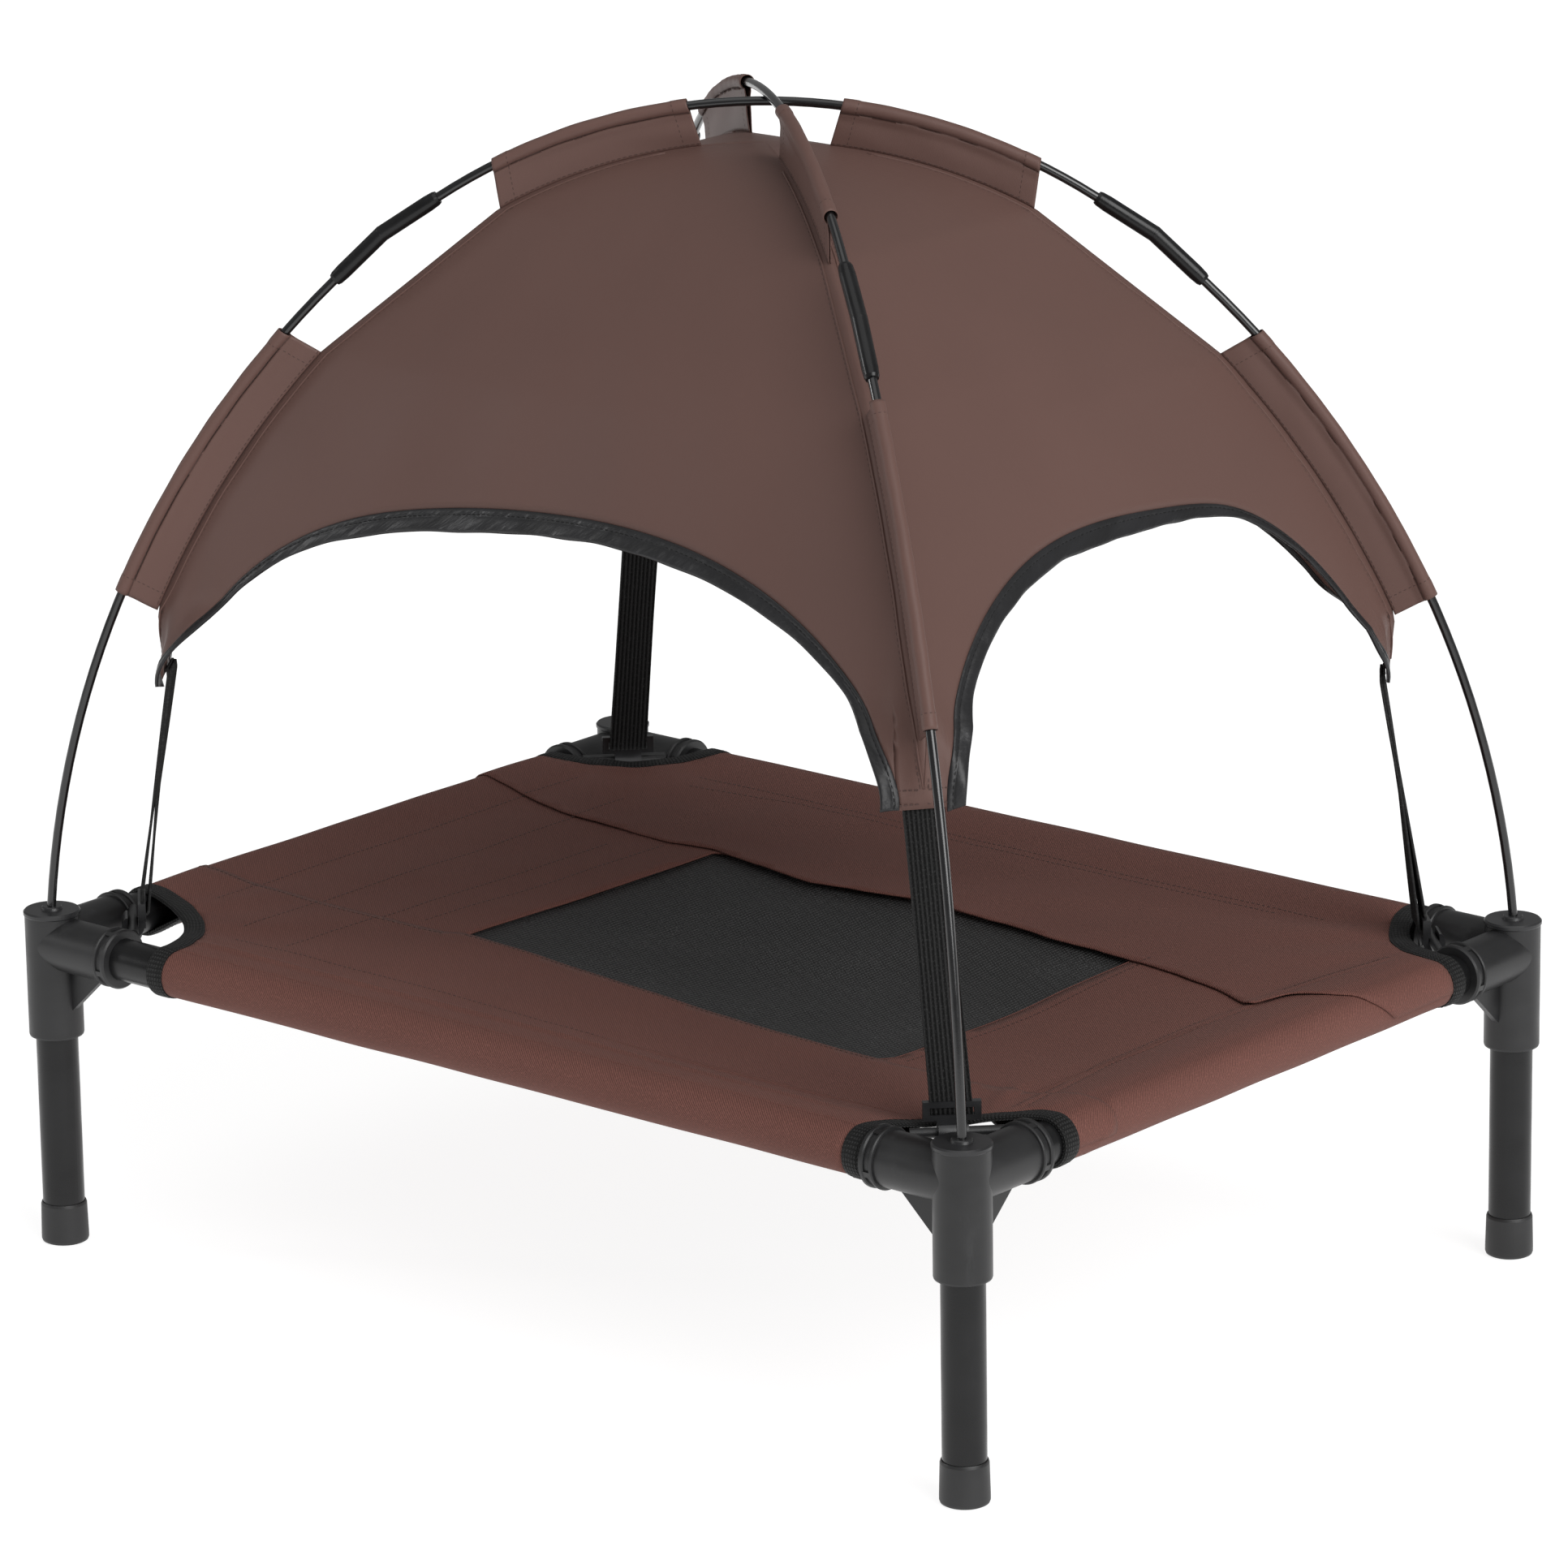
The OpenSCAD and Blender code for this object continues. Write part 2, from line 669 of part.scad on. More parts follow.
module elastic_strap(i) {
    foot = (bar_reach + 4.8) * [cos(45), sin(45)];
    head = (half_diag - tip_r - 1) * [diag_cos, diag_sin];
    foot_z = hook_top + 1.4;
    rise = tip_heights[i % 2] - 1 - foot_z;
    facing = (45 + diag_angle) / 2;
    run = head - foot;
    inward = run[0] * cos(facing) + run[1] * sin(facing);
    aside = run[1] * cos(facing) - run[0] * sin(facing);
    color("#0d0d0e")
        at_corner(i)
            translate([foot[0], foot[1], foot_z])
                rotate([0, 0, facing])
                    rotate([-atan2(aside, rise), atan2(inward, rise), 0])
                        translate([-0.55, -strap_w / 2, 0])
                            cube([1.1, strap_w, norm([rise, inward, aside])]);
}

// Hook: a slotted frame for the strap, a neck, and a J that swings on the cross bar
module strap_hook(i) {
    color("#1a1a1c")
        between_arms(i)
            translate([bar_reach, 0, bar_z])
                difference() {
                    union() {
                        rotate([90, 0, 0])
                            cylinder(r = hook_outer_r, h = hook_neck_w, center = true);
                        translate([hook_plate[0], -hook_neck_w / 2, -1])
                            cube([hook_plate[1] - hook_plate[0], hook_neck_w, 8]);
                        translate([hook_plate[0] - 0.4, -hook_frame_w / 2, hook_frame_low - bar_z])
                            cube([
                                hook_plate[1] - hook_plate[0] + 0.6, hook_frame_w,
                                hook_top - hook_frame_low
                            ]);
                    }
                    rotate([90, 0, 0])
                        cylinder(r = hook_inner_r, h = 60, center = true);
                    translate([-hook_inner_r, -30, 0])
                        cube([hook_plate[0] + hook_inner_r - 0.4, 60, 30]);
                    translate([-20, -30, 4.4])
                        cube([20, 60, 30]);
                    translate([0, -10.25, hook_top - bar_z - 6.4])
                        cube([20, 20.5, 3.6]);
                }
}

for (i = [0:3]) {
    connector(i);
    pole_socket(i);
    leg_tube(i);
    foot_cap(i);
    sling_binding(i);
    upper_sleeve(i);
    lower_sleeve(i);
    elastic_strap(i);
    strap_hook(i);
    lower_rod(i);
    ferrule(i);
    side_tube(i);
    canopy_panel(i);
    arch_binding(i);
}
crown_rod(false);  // low_crown_rod
crown_rod(true);  // high_crown_rod
sling();
mesh_panel();
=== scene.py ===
import math

import bmesh
import bpy
import numpy as np
from mathutils import Matrix, Vector
from mathutils.geometry import delaunay_2d_cdt


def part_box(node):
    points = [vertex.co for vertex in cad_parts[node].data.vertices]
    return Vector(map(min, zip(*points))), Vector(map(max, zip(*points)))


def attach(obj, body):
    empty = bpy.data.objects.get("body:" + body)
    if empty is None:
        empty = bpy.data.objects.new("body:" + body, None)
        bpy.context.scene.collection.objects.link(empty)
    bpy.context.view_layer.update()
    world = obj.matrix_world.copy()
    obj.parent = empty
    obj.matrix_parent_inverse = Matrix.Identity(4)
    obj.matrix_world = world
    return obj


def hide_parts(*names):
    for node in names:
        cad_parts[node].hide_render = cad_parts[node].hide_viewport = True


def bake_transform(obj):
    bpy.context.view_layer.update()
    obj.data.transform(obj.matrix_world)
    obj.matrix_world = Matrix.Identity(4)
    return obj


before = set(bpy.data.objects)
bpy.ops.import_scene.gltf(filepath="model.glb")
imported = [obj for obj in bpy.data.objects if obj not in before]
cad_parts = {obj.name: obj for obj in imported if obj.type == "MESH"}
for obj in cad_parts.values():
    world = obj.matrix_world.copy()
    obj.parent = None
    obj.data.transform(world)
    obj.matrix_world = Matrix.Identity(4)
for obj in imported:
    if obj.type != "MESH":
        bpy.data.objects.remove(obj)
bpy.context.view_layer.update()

# Lengths below are in millimetres; mesh_object turns them into metres.
MM = 0.001
CORNERS = ["front_left", "front_right", "rear_right", "rear_left"]
SIDES = ["front", "right", "rear", "left"]
SIGNS = [(-1, -1), (1, -1), (1, 1), (-1, 1)]


def box(node):
    """Lowest and highest corner of a CAD node, in millimetres."""
    low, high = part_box(node)
    return np.array(low) / MM, np.array(high) / MM


# ---------------------------------------------------------------- measures from the frame
LEG_LOW, LEG_HIGH = box("rear_right_leg_tube")
HALF_L, HALF_W = (LEG_LOW[0] + LEG_HIGH[0]) / 2, (LEG_LOW[1] + LEG_HIGH[1]) / 2
DIAGONAL = math.hypot(HALF_L, HALF_W)
DIAG = np.array([HALF_L, HALF_W]) / DIAGONAL
TUBE_LOW, TUBE_HIGH = box("front_side_tube")
TUBE_Z, TUBE_R = (TUBE_LOW[2] + TUBE_HIGH[2]) / 2, (TUBE_HIGH[2] - TUBE_LOW[2]) / 2
ROD_R = 2.25
LOW_TOP = box("low_crown_rod")[1][2] - ROD_R
HIGH_TOP = box("high_crown_rod")[1][2] - ROD_R
SOCKET_TOP = box("rear_right_pole_socket")[1][2]
HOOK_TOP = box("rear_right_strap_hook")[1][2]
BAR_REACH = 40.0

# ---------------------------------------------------------------- poles and ridges
SHOULDER = (159.0, 534.9)
FERRULE_HALF = 33.0
LOWER_SLOPE = math.radians(44)
SLEEVE_DEPTH = 20.0
TIP_R = 300.0
TIP_Z = (297.0, 313.0)
SEAM_LOW = tuple(z + 31 for z in TIP_Z)
SEAM_HIGH = tuple(z + 161 for z in TIP_Z)
SHOULDER_R = 129.0


def crown_arc(top):
    h = top - SHOULDER[1]
    radius = (SHOULDER[0] ** 2 + h * h) / (2 * h)
    return top - radius, radius, math.asin(SHOULDER[0] / radius)


CROWN = [crown_arc(LOW_TOP), crown_arc(HIGH_TOP)]


def lower_arc(pole):
    """Centre (r, z) and radius of a lower rod's curve."""
    slope = CROWN[pole][2]
    foot = np.array([DIAGONAL, SOCKET_TOP + 0.5])
    knee = np.array([SHOULDER[0] + FERRULE_HALF * math.cos(slope),
                     SHOULDER[1] - FERRULE_HALF * math.sin(slope)])
    top = knee + FERRULE_HALF * np.array([math.cos(LOWER_SLOPE), -math.sin(LOWER_SLOPE)])
    step = foot - top
    half_turn = math.atan2(-step[1], step[0]) - LOWER_SLOPE
    radius = np.hypot(*step) / (2 * math.sin(half_turn))
    start = math.pi / 2 - (LOWER_SLOPE + 2 * half_turn)
    return foot - radius * np.array([math.cos(start), math.sin(start)]), radius


LOWER = [lower_arc(0), lower_arc(1)]
RIDGE_R = CROWN[0][1] - SLEEVE_DEPTH
SHOULDER_Z = CROWN[0][0] + math.sqrt(RIDGE_R ** 2 - SHOULDER_R ** 2)


def low_ridge(z, pole):
    centre, radius = LOWER[pole]
    return centre[0] + np.sqrt((radius - SLEEVE_DEPTH + 0.6) ** 2 - (z - centre[1]) ** 2)


def ridge(z, pole):
    """Distance of the seam under a pole from the centre, at heights z."""
    z = np.asarray(z, float)
    low, high = low_ridge(SEAM_LOW[pole], pole), low_ridge(SEAM_HIGH[pole], pole)
    crown = np.sqrt(np.maximum(0, RIDGE_R ** 2 - (z - CROWN[0][0]) ** 2))
    slope = SHOULDER_R + (high - SHOULDER_R) * (SHOULDER_Z - z) / (SHOULDER_Z - SEAM_HIGH[pole])
    mid = low_ridge(np.clip(z, SEAM_LOW[pole], SEAM_HIGH[pole]), pole)
    tip = low + (TIP_R - low) * (SEAM_LOW[pole] - z) / (SEAM_LOW[pole] - TIP_Z[pole])
    out = np.where(z >= SHOULDER_Z, crown, np.where(z >= SEAM_HIGH[pole], slope, mid))
    return np.where(z < SEAM_LOW[pole], tip, out)


CROWN_START_R = 2.0
CROWN_START_Z = CROWN[0][0] + math.sqrt(RIDGE_R ** 2 - CROWN_START_R ** 2)

# ---------------------------------------------------------------- canopy surface
# Seen from outside, a side runs from its left corner (u = -1) to its right corner (u = +1).
LEFT_RIGHT = {0: (0, 1), 1: (1, 2), 2: (2, 3), 3: (3, 0)}
BULGE = 6.0
FOLD_RISE = 45.0


def smooth(x):
    x = np.clip(x, 0, 1)
    return x * x * (3 - 2 * x)


def side_axes(side):
    return (DIAG[0], DIAG[1]) if side % 2 == 0 else (DIAG[1], DIAG[0])


def to_world(side, across, out, z):
    turn = {0: (across, -out), 1: (out, across), 2: (-across, out), 3: (-out, -across)}[side]
    return np.stack([turn[0], turn[1], z], -1)


def on_panel(side, u, z):
    """Points of the canopy cloth, (n, 3), at shares u across and heights z."""
    u, z = np.broadcast_arrays(np.asarray(u, float), np.asarray(z, float))
    left, right = LEFT_RIGHT[side]
    along, away = side_axes(side)
    r_left, r_right = ridge(z, left % 2), ridge(z, right % 2)
    share = (u + 1) / 2
    x = -r_left * along + (r_left + r_right) * along * share
    y = r_left * away + (r_right - r_left) * away * share
    y = y + BULGE * (1 - u * u) * np.clip((CROWN_START_Z - z) / 80, 0, 1)
    on_left = u < 0
    near_x = np.where(on_left, -r_left * along, r_right * along)
    near_y = np.where(on_left, r_left, r_right) * away
    tip = np.where(on_left, TIP_Z[left % 2], TIP_Z[right % 2])
    fold = smooth(1 - (z - tip) / FOLD_RISE)
    reach = np.hypot(x - near_x, y - near_y)
    safe = np.maximum(reach, 1e-6)
    turn = np.where(on_left, 1, -1)
    hx = (x - near_x) / safe * (1 - fold) + turn * away * fold
    hy = (y - near_y) / safe * (1 - fold) + along * fold
    size = np.maximum(np.hypot(hx, hy), 1e-6)
    return to_world(side, near_x + hx / size * reach, near_y + hy / size * reach, z)


# Arch curves: half widths at the two tips, three sines of the shift across, four of the height,
# and the height of the two ends over their tips
ARCH_FREE = {
    0: (213.1, 220.5, 11.2, -0.6, -2.4, 95.1, 6.3, 0.4, 2.0, -0.1, 0.6),
    1: (158.9, 159.2, -10.5, 13.7, 0.0, 101.9, -10.9, 7.9, -2.9, 0.4, 1.7),
}
ARCH_BROWN = {
    0: (224.3, 228.9, 25.7, 9.4, -0.8, 108.0, 12.2, 1.8, 3.3, -3.5, 0.2),
    1: (167.0, 165.8, -5.4, 16.0, -6.2, 111.1, -9.0, 7.9, -4.1, -1.9, 2.0),
}


def arch(side, table, theta):
    """Across and height of an arch curve at angles from the left tip (0) to the right tip (pi)."""
    a_left, a_right, p1, p2, p3, q1, q2, q3, q4, d_left, d_right = table[side % 2]
    left, right = LEFT_RIGHT[side]
    z_left, z_right = TIP_Z[left % 2] + d_left, TIP_Z[right % 2] + d_right
    c = np.cos(theta)
    sines = [np.sin(k * theta) for k in (1, 2, 3, 4)]
    z = (z_left + z_right) / 2 - (z_right - z_left) / 2 * c
    z = z + q1 * sines[0] + q2 * sines[1] + q3 * sines[2] + q4 * sines[3]
    x = -(a_left + a_right) / 2 * c - (a_left - a_right) / 2
    x = x + p1 * sines[0] + p2 * sines[1] + p3 * sines[2]
    return x, z


def share_at(side, x, z):
    left, right = LEFT_RIGHT[side]
    along = side_axes(side)[0]
    r_left, r_right = ridge(z, left % 2), ridge(z, right % 2)
    return 2 * (x + r_left * along) / ((r_left + r_right) * along) - 1


def normal_at(side, u, z, step=0.6):
    """Outward unit normals of the canopy cloth."""
    du, dz = step / 240, step
    a = on_panel(side, u + du, z) - on_panel(side, u - du, z)
    b = on_panel(side, u, z + dz) - on_panel(side, u, z - dz)
    return unit(np.cross(a, b))


# ---------------------------------------------------------------- making meshes
def unit(vectors):
    return vectors / np.maximum(np.linalg.norm(vectors, axis=-1, keepdims=True), 1e-9)


def run_along(path):
    """Distance of each point of a polyline from its start."""
    return np.concatenate([[0], np.cumsum(np.linalg.norm(np.diff(path, axis=0), axis=1))])


def mesh_object(name, points, faces, material=None, uv=None, flat=False):
    """A mesh from points in millimetres. uv is per point, in metres of cloth."""
    mesh = bpy.data.meshes.new(name)
    mesh.from_pydata([tuple(p) for p in np.asarray(points, float) * MM], [], [tuple(f) for f in faces])
    if material:
        mesh.materials.append(material)
    if uv is not None:
        layer = mesh.uv_layers.new(name="cloth")
        uv = np.asarray(uv, float)
        loops = np.zeros(len(mesh.loops), int)
        mesh.loops.foreach_get("vertex_index", loops)
        layer.data.foreach_set("uv", uv[loops].astype(np.float32).ravel())
    mesh.polygons.foreach_set("use_smooth", np.full(len(mesh.polygons), not flat))
    mesh.update()
    made = bpy.data.objects.new(name, mesh)
    bpy.context.scene.collection.objects.link(made)
    return made


def tidy_mesh(made, merge=0.00005):
    """Merges points closer than merge, in metres, and turns the faces outward."""
    bm = bmesh.new()
    bm.from_mesh(made.data)
    bmesh.ops.remove_doubles(bm, verts=bm.verts, dist=merge)
    bmesh.ops.dissolve_degenerate(bm, edges=bm.edges, dist=merge / 5)
    bmesh.ops.recalc_face_normals(bm, faces=bm.faces)
    bm.to_mesh(made.data)
    bm.free()


def thicken(made, thickness):
    """Gives a one-layer cloth its thickness, half to each side."""
    solid = made.modifiers.new("thickness", "SOLIDIFY")
    solid.thickness = thickness * MM
    solid.offset = 0
    solid.use_even_offset = False


def grid_faces(rows, cols, wrap=False):
    out = []
    for j in range(rows - 1):
        for k in range(cols if wrap else cols - 1):
            n = (k + 1) % cols
            out.append((j * cols + k, j * cols + n, (j + 1) * cols + n, (j + 1) * cols + k))
    return out


def band_uv(run, across):
    """Cloth coordinates of a band's rows of points, from distances along and across it."""
    return np.stack(np.meshgrid(run, across, indexing="ij"), -1).reshape(-1, 2) * MM


def band_object(name, rows, run, across, material):
    """A closed band: a ring of points at each distance along it, with both ends capped."""
    cols = rows.shape[1]
    count = len(run) * cols
    faces = grid_faces(len(run), cols, wrap=True)
    faces += [tuple(range(cols)), tuple(range(count - 1, count - cols - 1, -1))]
    made = mesh_object(name, rows.reshape(-1, 3), faces, material, uv=band_uv(run, across))
    tidy_mesh(made)
    return made


def joined(parts):
    """One list of points, faces and cloth coordinates from several."""
    points, faces, uvs, count = [], [], [], 0
    for part in parts:
        p = np.asarray(part[0], float)
        points.append(p)
        faces += [tuple(i + count for i in f) for f in part[1]]
        if len(part) > 2:
            uvs.append(np.asarray(part[2], float))
        count += len(p)
    return np.concatenate(points), faces, (np.concatenate(uvs) if uvs else None)


def joined_object(name, parts, material):
    points, faces, _ = joined(parts)
    return mesh_object(name, points, faces, material)


def wave(*coordinates, seed=0, octaves=3):
    """Smooth repeatable noise from sums of sines, about -1 to 1."""
    rng = np.random.default_rng(seed)
    total, weight = 0, 0
    for octave in range(octaves):
        for _ in range(3):
            k = rng.normal(size=len(coordinates)) * 1.7 ** octave
            phase = rng.uniform(0, 6.283)
            total = total + 0.62 ** octave * np.sin(sum(a * c for a, c in zip(k, coordinates)) + phase)
            weight += 0.62 ** octave
    return total / (0.6 * weight)


def tube_mesh(path, radius, sides):
    path = np.asarray(path, float)
    tangent = unit(np.gradient(path, axis=0))
    up = np.array([0, 0, 1.0]) if abs(tangent[0][2]) < 0.9 else np.array([1.0, 0, 0])
    points = []
    for p, t in zip(path, tangent):
        x = unit(np.cross(t, up))
        up = np.cross(x, t)
        for k in range(sides):
            a = 2 * math.pi * k / sides
            points.append(p + radius * (math.cos(a) * x + math.sin(a) * up))
    faces = grid_faces(len(path), sides, wrap=True)
    faces.append(tuple(range(sides - 1, -1, -1)))
    faces.append(tuple(range(len(points) - sides, len(points))))
    return np.array(points), faces


def spaced(path, step):
    """A polyline resampled at even steps."""
    path = np.asarray(path, float)
    run = run_along(path)
    count = max(2, int(run[-1] / step) + 1)
    at = np.linspace(0, run[-1], count)
    return np.stack([np.interp(at, run, path[:, k]) for k in range(path.shape[1])], -1), at


# A stitch's cross-section, (share of its half width, 1 on top or 0 at the foot)
STITCH_SECTION = ((-1, 0), (-0.6, 1), (0.6, 1), (1, 0))
# A stitch takes this many of the six points in its pitch
STITCH_POINTS = 5


def stitches(path, normals, pitch=3.0, width=0.45, rise=0.22, sink=0.12):
    """Thread dashes along a line on cloth: low rounded bars."""
    path, normals = np.asarray(path, float), np.asarray(normals, float)
    both, _ = spaced(np.concatenate([path, normals], 1), pitch / 6)
    parts = []
    for start in range(0, len(both) - 5, 6):
        piece = both[start:start + STITCH_POINTS]
        p, n = piece[:, :3], piece[:, 3:]
        n = n / np.linalg.norm(n, axis=1, keepdims=True)
        t = p[-1] - p[0]
        if np.linalg.norm(t) < 1e-6:
            continue
        side = np.cross(t, n)
        side /= np.linalg.norm(side, axis=1, keepdims=True)
        shape = np.sin(np.linspace(0.35, math.pi - 0.35, len(p)))[:, None]
        rows = []
        for across, top in STITCH_SECTION:
            rows.append(p + side * across * width * (0.7 + 0.3 * shape) + n * (rise * shape * top - sink))
        pts = np.stack(rows, 1).reshape(-1, 3)
        ends = [(0, 1, 2, 3), tuple(len(pts) - 1 - k for k in range(4))]
        parts.append((pts, grid_faces(len(p), 4) + ends))
    return parts


# ---------------------------------------------------------------- materials
class Paint:
    """A principled material and short ways to add its texture nodes."""

    def __init__(self, name, colour, roughness, **fixed):
        self.material = bpy.data.materials.new(name)
        self.material.use_nodes = True
        self.tree = self.material.node_tree
        self.shader = self.tree.nodes["Principled BSDF"]
        self.shader.inputs["Base Color"].default_value = (*colour, 1)
        self.shader.inputs["Roughness"].default_value = roughness
        for key, value in fixed.items():
            self.shader.inputs[key.replace("_", " ")].default_value = value
        self.where = self.tree.nodes.new("ShaderNodeTexCoord")

    def node(self, kind, **settings):
        made = self.tree.nodes.new(kind)
        for key, value in settings.items():
            if key in made.inputs:
                made.inputs[key].default_value = value
            else:
                setattr(made, key, value)
        return made

    def link(self, a, b):
        self.tree.links.new(a, b)

    def coords(self, scale=(1, 1, 1), turn=(0, 0, 0), kind="Object"):
        mapping = self.node("ShaderNodeMapping")
        mapping.inputs["Scale"].default_value = scale
        mapping.inputs["Rotation"].default_value = turn
        self.link(self.where.outputs[kind], mapping.inputs["Vector"])
        return mapping.outputs[0]

    def cloth(self, scale=(1, 1, 1), turn=0):
        """Cloth coordinates, in metres, scaled and turned by degrees."""
        return self.coords(scale, (0, 0, math.radians(turn)), "UV")

    def noise(self, scale, detail=3, vector=None, roughness=0.5):
        made = self.node("ShaderNodeTexNoise", Scale=scale, Detail=detail, Roughness=roughness)
        self.link(vector or self.coords(), made.inputs["Vector"])
        return made.outputs["Fac"]

    def bands(self, pitch, vector, direction="X", distortion=0.0, detail=0):
        made = self.node("ShaderNodeTexWave", wave_type="BANDS", bands_direction=direction)
        made.inputs["Scale"].default_value = 0.31416 / pitch
        made.inputs["Distortion"].default_value = distortion
        made.inputs["Detail"].default_value = detail
        self.link(vector, made.inputs["Vector"])
        return made.outputs["Fac"]

    def math(self, kind, a, b=None):
        made = self.node("ShaderNodeMath", operation=kind)
        for place, value in enumerate((a, b)):
            if value is None:
                continue
            if isinstance(value, (int, float)):
                made.inputs[place].default_value = value
            else:
                self.link(value, made.inputs[place])
        return made.outputs[0]

    def ramp(self, fac, *stops):
        made = self.node("ShaderNodeValToRGB")
        ramp = made.color_ramp
        while len(ramp.elements) < len(stops):
            ramp.elements.new(0.5)
        for element, (place, colour) in zip(ramp.elements, stops):
            element.position = place
            element.color = (*colour, 1)
        self.link(fac, made.inputs["Fac"])
        return made.outputs["Color"]

    def mask(self, fac, low, high, bottom=0.0, top=1.0):
        """Grey from bottom to top as fac goes from low to high."""
        return self.ramp(fac, (low, (bottom,) * 3), (high, (top,) * 3))

    def mix(self, fac, a, b):
        made = self.node("ShaderNodeMix", data_type="RGBA")
        for place, value in ((0, fac), (6, a), (7, b)):
            if isinstance(value, (int, float)):
                made.inputs[place].default_value = value
            elif isinstance(value, tuple):
                made.inputs[place].default_value = (*value, 1)
            else:
                self.link(value, made.inputs[place])
        return made.outputs[2]

    def colour(self, output):
        self.link(output, self.shader.inputs["Base Color"])

    def rough(self, fac, low, high):
        made = self.node("ShaderNodeMapRange")
        made.inputs["To Min"].default_value = low
        made.inputs["To Max"].default_value = high
        self.link(fac, made.inputs["Value"])
        self.link(made.outputs[0], self.shader.inputs["Roughness"])

    def bump(self, *heights):
        """heights are (output, strength, depth in metres), from coarse to fine."""
        last = None
        for height, strength, depth in heights:
            made = self.node("ShaderNodeBump", Strength=strength, Distance=depth)
            self.link(height, made.inputs["Height"])
            if last is not None:
                self.link(last, made.inputs["Normal"])
            last = made.outputs["Normal"]
        self.link(last, self.shader.inputs["Normal"])


def shade(colour, factor):
    return tuple(min(1, c * factor) for c in colour)


def canopy_cloth(name, colour):
    paint = Paint(name, colour, 0.5, Specular_IOR_Level=0.24, Sheen_Weight=0.05, Sheen_Roughness=0.4)
    paint.shader.inputs["Sheen Tint"].default_value = (0.85, 0.72, 0.68, 1)
    cloudy = paint.noise(7, 2)
    base = paint.ramp(cloudy, (0.3, shade(colour, 0.94)), (0.7, shade(colour, 1.05)))
    warp = paint.bands(0.00055, paint.cloth(), "X", 0.4, 1)
    weft = paint.bands(0.0005, paint.cloth(), "Y", 0.4, 1)
    weave = paint.math("MULTIPLY", warp, weft)
    slub = paint.noise(1, 2, paint.cloth((2200, 160, 1)))
    tone = paint.math("MULTIPLY_ADD", weave, 0.25)
    paint.link(slub, tone.node.inputs[2])
    paint.colour(paint.mix(paint.math("MULTIPLY", tone, 0.22), base, shade(colour, 1.35)))
    paint.rough(paint.noise(18, 3), 0.42, 0.56)
    paint.bump((paint.noise(55, 2), 0.12, 0.0012), (weave, 0.22, 0.00012), (slub, 0.15, 0.00008))
    return paint.material


def sling_cloth(name, colour):
    paint = Paint(name, colour, 0.72, Specular_IOR_Level=0.14, Sheen_Weight=0.05, Sheen_Roughness=0.45)
    paint.shader.inputs["Sheen Tint"].default_value = (0.85, 0.66, 0.6, 1)
    cloth = paint.cloth()
    twill = paint.bands(0.00098, paint.cloth(turn=-48), "X", 0.55, 1)
    thread = paint.bands(0.00075, cloth, "Y", 0.5, 1)
    glint_fleck = paint.noise(1, 3, paint.cloth((1300, 700, 1)))
    streak = paint.noise(1, 2, paint.cloth((16, 420, 1)))
    cloudy = paint.noise(14, 4)
    base = paint.ramp(cloudy, (0.25, shade(colour, 0.92)), (0.75, shade(colour, 1.1)))
    toned = paint.mix(paint.math("MULTIPLY", streak, 0.35), base, shade(colour, 1.3))
    lines = paint.mask(twill, 0.18, 0.62)
    ribbed = paint.mix(lines, shade(colour, 0.58), toned)
    # Light flecks: painted glints off the twill's fibres.
    painted_glints = paint.mask(glint_fleck, 0.5, 0.72, top=0.4)
    paint.colour(paint.mix(painted_glints, ribbed, shade(colour, 1.7)))
    paint.rough(glint_fleck, 0.6, 0.82)
    paint.bump((paint.noise(40, 3), 0.2, 0.0012), (twill, 0.4, 0.0003), (thread, 0.25, 0.00015))
    return paint.material


def webbing(name, colour, pitch=0.0016, strength=0.8):
    paint = Paint(name, colour, 0.6, Specular_IOR_Level=0.25, Sheen_Weight=0.02, Sheen_Roughness=0.5)
    warp = paint.bands(pitch, paint.cloth(), "X", 0.5, 1)
    weft = paint.bands(pitch * 0.85, paint.cloth(), "Y", 0.5, 1)
    knots = paint.math("MULTIPLY", warp, weft)
    fuzz = paint.noise(1500, 2)
    # Knot tops are painted light and the gaps between them dark: painted highlight and painted shade of the
    # weave on black webbing.
    paint.colour(paint.ramp(knots, (0.05, shade(colour, 0.2)), (0.75, shade(colour, 2.6))))
    paint.rough(fuzz, 0.5, 0.8)
    paint.bump((knots, strength, 0.0009), (fuzz, 0.3, 0.0002))
    return paint.material


def tape_satin(name, colour):
    paint = Paint(name, colour, 0.4, Specular_IOR_Level=0.42, Sheen_Weight=0.02, Sheen_Roughness=0.3)
    rib = paint.bands(0.0006, paint.cloth(), "Y", 0.3, 1)
    sheen_patch = paint.noise(1, 2, paint.cloth((46, 60, 1), 20))
    crease = paint.noise(1, 3, paint.cloth((120, 70, 1), 34))
    # The glossier patches are also painted lighter: painted sheen on black satin.
    paint.colour(paint.ramp(sheen_patch, (0.35, shade(colour, 0.75)), (0.7, shade(colour, 1.6))))
    paint.rough(sheen_patch, 0.56, 0.2)
    paint.bump((crease, 0.55, 0.0014), (rib, 0.1, 0.0001))
    return paint.material


